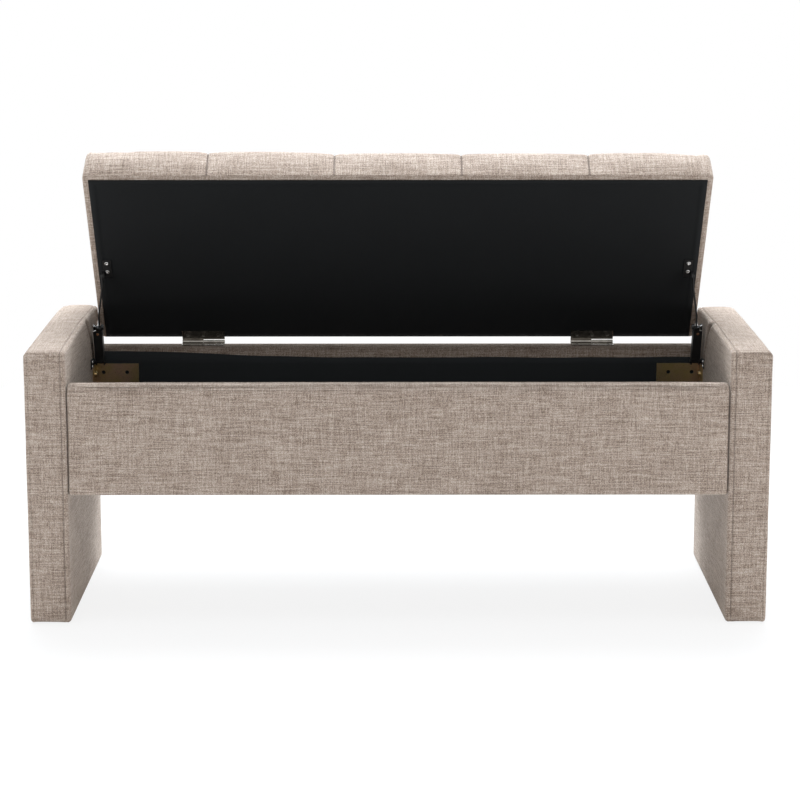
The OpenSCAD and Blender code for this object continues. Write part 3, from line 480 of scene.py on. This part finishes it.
def start_cloth(trial):
    cloth = trial.modifiers.new("cloth", "CLOTH")
    cloth.settings.quality = 5
    cloth.settings.mass = 0.3
    cloth.settings.use_pressure = True
    cloth.settings.uniform_pressure_force = foam_pressure
    cloth.settings.vertex_group_mass = "fixed"
    cloth.settings.effector_weights.gravity = 0
    cloth.point_cache.frame_start, cloth.point_cache.frame_end = 1, last_step


def swell(bm, name, cap, held):
    mesh = bpy.data.meshes.new(name + "_trial")
    bm.verts.index_update()
    bm.to_mesh(mesh)
    trial = bpy.data.objects.new(name + "_trial", mesh)
    scene.collection.objects.link(trial)
    fixed = trial.vertex_groups.new(name="fixed")
    start = [vert.co.copy() for vert in mesh.vertices]
    fixed.add([i for i, place in enumerate(start) if held(place)], 1.0, "REPLACE")
    start_cloth(trial)
    for step in range(1, last_step + 1):
        scene.frame_set(step)
    swollen = trial.evaluated_get(bpy.context.evaluated_depsgraph_get()).to_mesh()
    furthest = 0
    for vert, old, new in zip(bm.verts, start, swollen.vertices):
        travel = new.co - old
        furthest = max(furthest, travel.length)
        limit = cap(old)
        if travel.length > limit:
            travel *= limit / travel.length
        vert.co = old + travel
    bpy.data.objects.remove(trial)
    bpy.data.meshes.remove(mesh)
    scene.frame_set(1)
    print(name, "swelled, furthest mm:", round(furthest * 1000, 1))

# %% Turning a shape into a piece
def finished(name, bm, material, body, levels=0):
    mesh = bpy.data.meshes.new(name)
    bm.normal_update()
    bm.to_mesh(mesh)
    bm.free()
    mesh.materials.append(material)
    mesh.shade_smooth()
    piece = bpy.data.objects.new(name, mesh)
    scene.collection.objects.link(piece)
    if levels:
        smoother = piece.modifiers.new("smoother", "SUBSURF")
        smoother.levels = smoother.render_levels = levels
    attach(piece, body)
    print(name, len(mesh.polygons), "faces")
    return piece

# %% [markdown]
# ## Slab ends
# Each end is a board box wrapped in thin foam and cloth. The sides are two panels, and a narrow strip runs
# up the front, over the top and down the back, joined to them by seams a finger's width inside the edges.
# The top is crowned, more on the left end than on the right. Near the back, a crease runs down the inner
# side, where the cloth is pulled in. Its few points, a depth and a height each, are read off the
# photograph, one list for each end.

# %% Sizes of the slab ends
back_y = behind(381)
end_inner, end_outer = 0.542, 0.610
end_bottom, end_top = 0.002, 0.460
inner_seam, outer_seam, end_seam = 0.0085, 0.0065, 0.0095
cloth_step, narrow_step = 0.012, 0.0085
front_rise, inner_bulge, seam_bulge = 0.0030, 0.0028, 0.0040
crown_of_side = {-1: 0.0125, 1: 0.0075}
print("height with its crown:", {side_word[side]: end_top + rise for side, rise in crown_of_side.items()})

# %% Crown of a slab end
def crown_top(bm, side):
    for vert in bm.verts:
        x, y, z = vert.co
        near_edge = 1 - min(1.0, max(0.0, (end_outer - abs(x)) / 0.030))
        rounding = math.sqrt(1 - near_edge ** 2) * (0.75 + 0.25 * ease((abs(x) - end_inner) / 0.016))
        backward = ease((y - front_y) / 0.34) * (0.8 + 0.2 * ease((back_y - y) / 0.03))
        rise = front_rise * ease((y - front_y) / 0.09) + (crown_of_side[side] - front_rise) * backward
        vert.co.z += ease((z - 0.445) / 0.012) * rise * rounding
        if abs(x) < end_inner + 0.003:
            vert.co.x -= side * inner_bulge * ease((y - behind(338)) / 0.03) * ease((z - 0.415) / 0.03)
        if abs(abs(x) - end_inner) > 0.002:
            vert.co += 0.0005 * noise.noise_vector(vert.co * 22)


def bulge_at_seam(bm, side):
    for vert in bm.verts:
        x, y, z = vert.co
        beside = math.exp(-((abs(x) - end_inner - inner_seam) / 0.006) ** 2) * ease((z - 0.44) / 0.015)
        vert.co.x -= side * seam_bulge * beside * ease((y - behind(190)) / 0.14)

# %% Crease of a slab end
crease_of_side = {-1: [(245, 0.4640), (267, 0.4470), (290, 0.4250), (307, 0.4020), (312, 0.3860)],
                  1: [(225, 0.4640), (245, 0.4500), (267, 0.4270), (285, 0.4030), (293, 0.3860)]}
crease_low, crease_high, crease_step = 0.37, 0.459, 0.0022
crease_depth, crease_width = 0.0044, 0.0044
ridge_height, ridge_away, ridge_width = 0.0018, 0.0095, 0.0050


def distance_to_path(y, z, path):
    least = 1.0
    for (y0, z0), (y1, z1) in zip(path, path[1:]):
        run = Vector((y1 - y0, z1 - z0))
        along = min(1.0, max(0.0, Vector((y - y0, z - z0)).dot(run) / run.length_squared))
        least = min(least, (Vector((y, z)) - Vector((y0, z0)) - run * along).length)
    return least


def press_crease(bm, side):
    path = [(behind(depth), height) for depth, height in crease_of_side[side]]
    painted_shade = bm.verts.layers.float["painted_shade"]

    def near(co):
        inner_side = abs(abs(co.x) - end_inner) < 0.004
        return inner_side and behind(200) < co.y < behind(340) and crease_low < co.z < crease_high

    cut_across(bm, 1, evenly(behind(200), behind(340), crease_step), near)
    cut_across(bm, 2, evenly(crease_low, crease_high, crease_step), near)
    bm.normal_update()
    for vert in bm.verts:
        inner_side = abs(abs(vert.co.x) - end_inner) < 0.006
        if inner_side and behind(190) < vert.co.y < behind(350) and vert.co.z > 0.36:
            away = distance_to_path(vert.co.y, vert.co.z, path)
            press = math.exp(-((away / crease_width) ** 2))
            ridge = math.exp(-(((away - ridge_away) / ridge_width) ** 2))
            vert.co.x += side * (crease_depth * press - ridge_height * ridge)
            # The crease's groove is darkened by painted shade.
            vert[painted_shade] = max(vert[painted_shade], 1.2 * press)

# %% Slab ends
def outer_top_edge(a, b):
    return min(a.z, b.z) > 0.4 and abs(a.y - b.y) > 0.3 and abs(a.x) > 0.6


def other_soft_edge(a, b):
    top_across = min(a.z, b.z) > 0.4 and abs(a.y - b.y) < 0.3 and abs(a.x - b.x) > 0.04
    inner_top = min(a.z, b.z) > 0.459 and abs(a.y - b.y) > 0.3 and abs(a.x) < 0.543
    upright = abs(a.z - b.z) > 0.4
    return top_across or inner_top or upright


def slab_held(co):
    inner_side = abs(co.x) < end_inner + 0.003
    return co.z < 0.02 or (inner_side and (co.z < 0.42 or co.y > behind(260)))


def slab_travel(co):
    return 0.0016 if co.z > 0.03 else 0.0


def above_floor(co):
    return co.z > 0.004


def slab_top(co):
    return co.z > 0.4585


def slab_end(side):
    word = side_word[side]
    name = word + "_end_upholstery"
    low_x, high_x = sorted((side * end_inner, side * end_outer))
    bm = block((low_x, front_y, end_bottom), (high_x, back_y, end_top))
    round_edges(bm, outer_top_edge, 0.0085)
    round_edges(bm, other_soft_edge, 0.0055)
    cut_across(bm, 0, evenly(low_x, high_x, narrow_step))
    cut_across(bm, 1, evenly(front_y, back_y, cloth_step))
    cut_across(bm, 2, evenly(end_bottom, end_top, cloth_step))
    crown_top(bm, side)
    swell(bm, name, slab_travel, slab_held)
    inner_x, outer_x = side * (end_inner + inner_seam), side * (end_outer - outer_seam)
    sew_line(bm, 0, inner_x, depth=0.0014, half_width=0.0018, within=above_floor, shade=0.6)
    sew_line(bm, 0, outer_x, depth=0.0009, half_width=0.0016, within=above_floor, shade=0.2)
    for seam in (front_y + end_seam, back_y - end_seam):
        sew_line(bm, 1, seam, depth=0.0010, half_width=0.0016, within=slab_top, shade=0.4)
    bulge_at_seam(bm, side)
    press_crease(bm, side)
    lay_cloth(bm)
    piece = finished(name, bm, taupe_linen, "base", levels=1)
    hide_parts(word + "_end_cover", word + "_end_padding")


slab_end(-1)
slab_end(1)

# %% [markdown]
# ## Padded front of the box
# The front is a board with foam over its face and top, wrapped in the same cloth. The top edge is a soft
# roll and the ends are tucked in beside the slabs, where a dark line of painted shade is drawn.

# %% Sizes of the box
panel_half, box_bottom = 0.5417, 0.219
front_top, front_back = 0.405, behind(34)
rail_top, rail_front = 0.3996, behind(347)
flat_step = 0.015


def at_panel_ends(a, b):
    return min(abs(a.x), abs(b.x)) > panel_half - 1e-5


print("front panel:", 2 * panel_half, "by", front_top - box_bottom)

# %% Padded front of the box
def front_held(co):
    return co.z < 0.2215 or co.y > behind(31.8) or abs(co.x) > panel_half - 0.001


def front_panel():
    bm = block((-panel_half, front_y, box_bottom), (panel_half, front_back, front_top))
    round_edges(bm, lambda a, b: min(a.z, b.z) > 0.4 and abs(a.x - b.x) > 0.5, 0.013, 6)
    round_edges(bm, at_panel_ends, 0.0055)
    cut_across(bm, 0, evenly(-panel_half, panel_half, cloth_step))
    cut_across(bm, 2, evenly(box_bottom, front_top, cloth_step))
    cut_across(bm, 1, evenly(front_y, front_back, narrow_step))
    swell(bm, "front_upholstery", lambda co: 0.0003 + 0.0017 * ease((0.388 - co.z) / 0.04), front_held)
    tuck_shade = bm.verts.layers.float["painted_shade"]
    for vert in bm.verts:
        if vert.co.y < behind(24) and abs(vert.co.x) < panel_half - 0.004:
            vert.co.y -= 0.0004 * noise.noise(vert.co * 16)
            vert.co.z += 0.0005 * noise.noise(vert.co * 9) * ease((vert.co.z - 0.38) / 0.02)
        # The tucked ends get a dark line of painted shade.
        vert[tuck_shade] = 1.25 * ease((abs(vert.co.x) - panel_half + 0.0030) / 0.0028)
    lay_cloth(bm)
    piece = finished("front_upholstery", bm, taupe_linen, "base", levels=1)
    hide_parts("front_cover", "front_padding")


front_panel()

# %% [markdown]
# ## Back of the box
# The back is a board in the same cloth with hardly any padding. Its top is the rail that the hinges are
# screwed to, so it stays flat under the leaves.

# %% Back of the box
def back_panel():
    bm = block((-panel_half, rail_front, box_bottom), (panel_half, back_y, rail_top))
    round_edges(bm, lambda a, b: min(a.z, b.z) > 0.39 and abs(a.x - b.x) > 0.5, 0.006, 4)
    round_edges(bm, at_panel_ends, 0.003)
    cut_across(bm, 0, evenly(-panel_half, panel_half, flat_step))
    cut_across(bm, 2, evenly(box_bottom, rail_top, flat_step))
    cut_across(bm, 1, evenly(rail_front, back_y, 0.011))
    for vert in bm.verts:
        loose = ease((0.396 - vert.co.z) / 0.01)
        vert.co.y += 0.0005 * loose * noise.noise(vert.co * 14) * (vert.co.y > behind(360))
    lay_cloth(bm)
    piece = finished("back_upholstery", bm, taupe_linen, "base", levels=1)
    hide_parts("back_cover")


back_panel()

# %% [markdown]
# ## Tufted lid
# The lid's cover is stitched through its foam in five columns and two rows. It is drawn closed, where its
# sizes are plain, swelled by the cloth simulation with the seams held down, sewn, and then turned about
# the hinge axis to the open place.

# %% Sizes of the lid
lid_half, lid_front, lid_back = 0.535, behind(0.5), behind(372.2)
lid_under, lid_seam_level = 0.407, 0.463
lid_seams_x = (-0.3246, -0.1082, 0.1082, 0.3246)
lid_seam_y = (lid_front + lid_back) / 2
lid_columns = (-lid_half, *lid_seams_x, lid_half)
pad_rise = (0.0065, 0.0050, 0.0042, 0.0034, 0.0072)
pad_step = 0.0095
hinge_axis = Vector((0, behind(378.5), 0.4028))
open_lid = (Matrix.Translation(hinge_axis) @ Matrix.Rotation(math.radians(-58.5), 4, "X")
            @ Matrix.Translation(-hinge_axis))
print("columns:", len(lid_columns) - 1, "hinge axis:", list(hinge_axis))

# %% Pads of the lid
def lid_held(co):
    upright_seam = any(abs(co.x - seam) < 0.001 for seam in lid_seams_x) and co.z > 0.412
    long_seam = abs(co.y - lid_seam_y) < 0.001 and co.z > 0.457
    return co.z < 0.4095 or upright_seam or long_seam or abs(co.x) > lid_half - 0.0005


def lid_travel(co):
    corner = ease((lid_half - abs(co.x)) / 0.03)
    return 0.0005 + (0.0035 if co.z > 0.45 else 0.002) * corner


def share_between(value, stops):
    for low, high in zip(stops, stops[1:]):
        if low <= value <= high:
            return max(0.0, math.sin(math.pi * (value - low) / (high - low))) ** 0.6
    return 0.0


def draw_pads(bm):
    for vert in bm.verts:
        x, y, z = vert.co
        across = share_between(x, lid_columns)
        along = share_between(y, (lid_front, lid_seam_y, lid_back))
        column = pad_rise[sum(x > seam for seam in lid_seams_x)]
        on_top, up = ease((z - 0.446) / 0.012), ease((z - 0.410) / 0.02)
        fuller = 0.0012 + 0.0026 * ease(-x / 0.45)
        lift = fuller + 0.002 * ease((lid_front + 0.02 - y) / 0.02)
        vert.co.z += on_top * (column * across * max(along, 0.75) + lift)
        for face_y, outward in ((lid_front, -1), (lid_back, 1)):
            reach = 0.0024 * across + (fuller if outward < 0 else 0.0)
            vert.co.y += outward * reach * up * ease((0.012 - abs(y - face_y)) / 0.012)

# %% Tufted lid
def lid_pad():
    bm = block((-lid_half, lid_front, lid_under), (lid_half, lid_back, lid_seam_level))
    round_edges(bm, lambda a, b: abs(a.z - b.z) > 0.02, 0.008, 3)
    round_edges(bm, lambda a, b: min(a.z, b.z) > 0.455, 0.006, 3)
    round_edges(bm, lambda a, b: max(a.z, b.z) < 0.4075, 0.0025, 2)
    for left, right in zip(lid_columns, lid_columns[1:]):
        cut_across(bm, 0, evenly(left, right, pad_step))
    cut_across(bm, 0, lid_seams_x)
    cut_across(bm, 1, evenly(lid_front, lid_seam_y, pad_step))
    cut_across(bm, 1, [lid_seam_y] + evenly(lid_seam_y, lid_back, pad_step))
    cut_across(bm, 2, evenly(lid_under, lid_seam_level, pad_step))
    draw_pads(bm)
    swell(bm, "lid_upholstery", lid_travel, lid_held)
    for seam in lid_seams_x:
        sew_line(bm, 0, seam, depth=0.0024, half_width=0.0021, within=lambda co: co.z > 0.4076)
    sew_line(bm, 1, lid_seam_y, depth=0.0020, half_width=0.0024, within=lambda co: co.z > 0.454)
    for vert in bm.verts:
        if vert.co.z > 0.415:
            vert.co += 0.0004 * noise.noise_vector(vert.co * 24)
    lay_cloth(bm)
    bmesh.ops.transform(bm, matrix=open_lid, verts=bm.verts)
    piece = finished("lid_upholstery", bm, taupe_linen, "lid", levels=1)
    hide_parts("lid_cover", "lid_foam")


lid_pad()

# %% [markdown]
# ## Lining cloths
# The linings are flat cloths stapled over the boards. Each is a grid cut to size, with a folded hem where
# the real one has it, a little slackness between the staples, and a thin wall from the Solidify modifier.

# %% Cutting and hanging a cloth
cloth_wall, hem_edge, hem_lift = 0.0006, 0.0012, 0.0005
face_down = Matrix.Rotation(math.pi, 4, "X")
face_front = Matrix.Rotation(math.pi / 2, 4, "X")
face_back = Matrix.Rotation(-math.pi / 2, 4, "X")
face_up = Matrix.Identity(4)


def cut_cloth(width, length, hem=0.0, slack=0.0003):
    bm = bmesh.new()
    bmesh.ops.create_grid(bm, x_segments=1, y_segments=1, size=0.5)
    bmesh.ops.scale(bm, vec=(width, length, 1), verts=bm.verts)
    cut_across(bm, 0, evenly(-width / 2, width / 2, flat_step))
    cut_across(bm, 1, evenly(-length / 2, length / 2, flat_step))
    lay_cloth(bm)
    if hem:
        for axis, half in ((0, width / 2), (1, length / 2)):
            cut_across(bm, axis, [hem - half, hem + hem_edge - half, half - hem - hem_edge, half - hem])
    for vert in bm.verts:
        x, y, z = vert.co
        border = min(width / 2 - abs(x), length / 2 - abs(y))
        vert.co.z += slack * noise.noise((x * 9, y * 9, length)) * ease(border / 0.04)
        if hem and border < hem + 0.0005:
            vert.co.z += hem_lift
    return bm


def hang_cloth(name, bm, turn, place, node, material, body="base"):
    bmesh.ops.transform(bm, matrix=Matrix.Translation(place) @ turn, verts=bm.verts)
    if body == "lid":
        bmesh.ops.transform(bm, matrix=open_lid, verts=bm.verts)
    piece = finished(name, bm, material, body)
    wall = piece.modifiers.new("wall", "SOLIDIFY")
    wall.thickness, wall.offset = cloth_wall, -1.0
    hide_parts(node)

# %% Lining cloths of the lid and the box
lid_size = (1.050, 0.3587)
hang_cloth("lid_lining_cloth", cut_cloth(*lid_size, hem=0.010), face_down,
           (0, behind(189.85), 0.4062), "lid_lining", black_lining, "lid")

back_size = (2 * panel_half, 0.140)
wavy = cut_cloth(*back_size)
for vert in wavy.verts:
    loose = 0.0115 * ease((-0.1 - vert.co.x) / 0.4) - 0.0040 + 0.0020 * noise.noise((vert.co.x * 9, 2.0, 0.0))
    vert.co.y += loose * ease((vert.co.y - 0.050) / 0.018)
hang_cloth("back_lining_cloth", wavy, face_front, (0, behind(346.2), 0.314),
           "back_lining", box_lining_painted_light)

front_size, floor_size = (2 * panel_half, 0.135), (2 * panel_half, 0.311)
hang_cloth("front_lining_cloth", cut_cloth(*front_size), face_back,
           (0, behind(34.8), 0.3115), "front_lining", box_lining_painted_light)
hang_cloth("floor_lining_cloth", cut_cloth(*floor_size), face_up,
           (0, behind(190.5), 0.2448), "floor_lining", box_lining_painted_light)

# %% Dust cloths below
dust_size, end_dust_size = (2 * panel_half, 0.313), (0.024, 0.276)
hang_cloth("box_dust_cloth", cut_cloth(*dust_size, slack=0.0006), face_down,
           (0, behind(190.5), 0.2203), "dust_cloths", dust_cover)
for side, word in side_word.items():
    hang_cloth(word + "_end_dust_cloth", cut_cloth(*end_dust_size), face_down,
               (side * 0.576, behind(190.5), 0.0032), "dust_cloths", dust_cover)

# %% [markdown]
# ## Copper rivets on the stays
# A small copper rivet shows on the front of each stay's channel, just under the elbow. It is a short
# cylinder with a rounded rim and a dimple from the setting tool. It is drawn upright and then set on the
# leaning channel, whose own frame starts at the pivot of its foot.

# %% Copper rivets on the stays
foot_pivot = Vector((0, behind(321), 0.378))
lean = Matrix.Translation(foot_pivot) @ Matrix.Rotation(math.radians(19), 4, "X")
channel_front = -0.0085
rivet_radius, rivet_height = 0.0024, 0.0012
rivet_x, rivet_up = 0.5292, 0.0605


def channel_rivet(side):
    bm = bmesh.new()
    bmesh.ops.create_cone(bm, cap_ends=True, segments=20, radius1=rivet_radius, radius2=rivet_radius,
                          depth=rivet_height)
    round_edges(bm, lambda a, b: min(a.z, b.z) > 0, 0.0005)
    top = max(bm.faces, key=lambda face: face.calc_center_median().z)
    bmesh.ops.inset_region(bm, faces=[top], thickness=0.0006)
    bmesh.ops.translate(bm, vec=(0, 0, -0.0004), verts=top.verts)
    place = lean @ Matrix.Translation((side * rivet_x, channel_front - 0.0005, rivet_up)) @ face_front
    bmesh.ops.transform(bm, matrix=place, verts=bm.verts)
    word = side_word[side]
    finished(word + "_channel_rivet", bm, copper_rivet, word + "_lower_arm")


for side in side_word:
    channel_rivet(side)

# %% [markdown]
# ## Spring hooks and stop lips
# The end of each stay's spring is a bright loop of wire that stands up beside the elbow: a small circle is
# spun most of the way round and drawn out tall. Below it the channel's front runs on as a lip, which the
# upper arm comes to rest against.

# %% Spring hooks and stop lips
wire_radius, loop_radius, loop_stretch = 0.0008, 0.0020, 0.0062
hook_x, hook_y, hook_up = 0.5342, -0.0079, 0.0690
lip_inner, lip_outer, lip_back = 0.5228, 0.5312, -0.0073
lip_low, lip_high = 0.0655, 0.0735


def spring_hook(side):
    bm = bmesh.new()
    turned = Matrix.Translation((loop_radius, 0, 0)) @ Matrix.Rotation(math.pi / 2, 4, "X")
    bmesh.ops.create_circle(bm, segments=10, radius=wire_radius, matrix=turned)
    bmesh.ops.spin(bm, geom=bm.verts[:] + bm.edges[:], cent=(0, 0, 0), axis=(0, 0, 1), dvec=(0, 0, 0),
                   angle=math.radians(310), steps=24)
    bmesh.ops.holes_fill(bm, edges=[edge for edge in bm.edges if edge.is_boundary])
    for vert in bm.verts:
        vert.co.y += loop_stretch * ease((vert.co.y + 0.0005) / 0.0010)
    bmesh.ops.recalc_face_normals(bm, faces=bm.faces)
    place = lean @ Matrix.Translation((side * hook_x, hook_y, hook_up)) @ face_front
    bmesh.ops.transform(bm, matrix=place, verts=bm.verts)
    word = side_word[side]
    finished(word + "_spring_hook", bm, bright_wire, word + "_lower_arm")


def stop_lip(side):
    low_x, high_x = sorted((side * lip_inner, side * lip_outer))
    bm = block((low_x, channel_front, lip_low), (high_x, lip_back, lip_high))
    round_edges(bm, lambda a, b: min(a.z, b.z) > 0.07, 0.0004, 2)
    bmesh.ops.transform(bm, matrix=lean, verts=bm.verts)
    word = side_word[side]
    finished(word + "_stop_lip", bm, black_paint, word + "_lower_arm")


for make in (spring_hook, stop_lip):
    for side in side_word:
        make(side)

# %% [markdown]
# ## Pan-head screws
# The stays and the angle brackets are held by pan-head screws with a cross recess. One screw is drawn: its
# head is a short cylinder with a rounded rim, four plane cuts each way mark the cross, and an inset pushes
# it in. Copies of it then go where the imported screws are.

# %% One pan-head screw
def pan_screw(radius, height, shank, length):
    bm = bmesh.new()
    bmesh.ops.create_cone(bm, cap_ends=True, segments=24, radius1=radius, radius2=radius, depth=height,
                          matrix=Matrix.Translation((0, 0, height / 2)))
    round_edges(bm, lambda a, b: min(a.z, b.z) > 0.9 * height, 0.5 * height, 4)
    half, reach = 0.13 * radius, 0.52 * radius
    for axis in (0, 1):
        cut_across(bm, axis, (-reach, -half, half, reach), lambda co: co.z > 0.99 * height)
    cross = []
    for face in bm.faces:
        x, y, z = (abs(part) for part in face.calc_center_median())
        if z > 0.99 * height and min(x, y) < half and max(x, y) < reach:
            cross.append(face)
    bmesh.ops.inset_region(bm, faces=cross, thickness=0.12 * half, depth=-0.6 * height)
    bmesh.ops.create_cone(bm, cap_ends=True, segments=12, radius1=0.3 * shank, radius2=shank, depth=length,
                          matrix=Matrix.Translation((0, 0, -length / 2)))
    mesh = bpy.data.meshes.new("pan_screw")
    bm.to_mesh(mesh)
    bm.free()
    return mesh


def set_of_screws(name, one, places, material, body, node):
    bm = bmesh.new()
    for place in places:
        turned = one.copy()
        turned.transform(place)
        bm.from_mesh(turned)
        bpy.data.meshes.remove(turned)
    piece = finished(name, bm, material, body)
    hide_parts(node)

# %% Screws of the stays
stay_head, stay_head_height, stay_shank = 0.0036, 0.0018, 0.0018
foot_x, foot_y, foot_levels = 0.540, behind(294), (0.3743, 0.3827)
bracket_x, bracket_depths, bracket_level = 0.5093, (213.5, 194.5), 0.4045
inward = {side: Matrix.Rotation(-side * math.pi / 2, 4, "Y") for side in side_word}
foot_places = [Matrix.Translation((side * foot_x, foot_y, level)) @ inward[side]
               for side in side_word for level in foot_levels]
foot_screw = pan_screw(stay_head, stay_head_height, stay_shank, 0.0155)
set_of_screws("stay_foot_pan_screws", foot_screw, foot_places, bright_wire, "base",
              "stay_foot_screws")
lid_places = [open_lid @ Matrix.Translation((side * bracket_x, behind(depth), bracket_level)) @ face_down
              for side in side_word for depth in bracket_depths]
lid_screw = pan_screw(stay_head, stay_head_height, stay_shank, 0.0125)
set_of_screws("stay_lid_pan_screws", lid_screw, lid_places, bright_wire, "lid",
              "stay_lid_screws")

# %% Screws of the angle brackets
flange_level, flange_runs = 0.3256, (0.015, 0.057)
flange_screw = pan_screw(0.0048, 0.0024, 0.0022, 0.0175)
flange_places = [Matrix.Translation((side * (end_inner - run), behind(depth), flange_level)) @ turn
                 for side in side_word for run in flange_runs
                 for depth, turn in ((37.5, face_back), (343.5, face_front))]
set_of_screws("bracket_pan_screws", flange_screw, flange_places, yellow_zinc, "base",
              "bracket_screws")
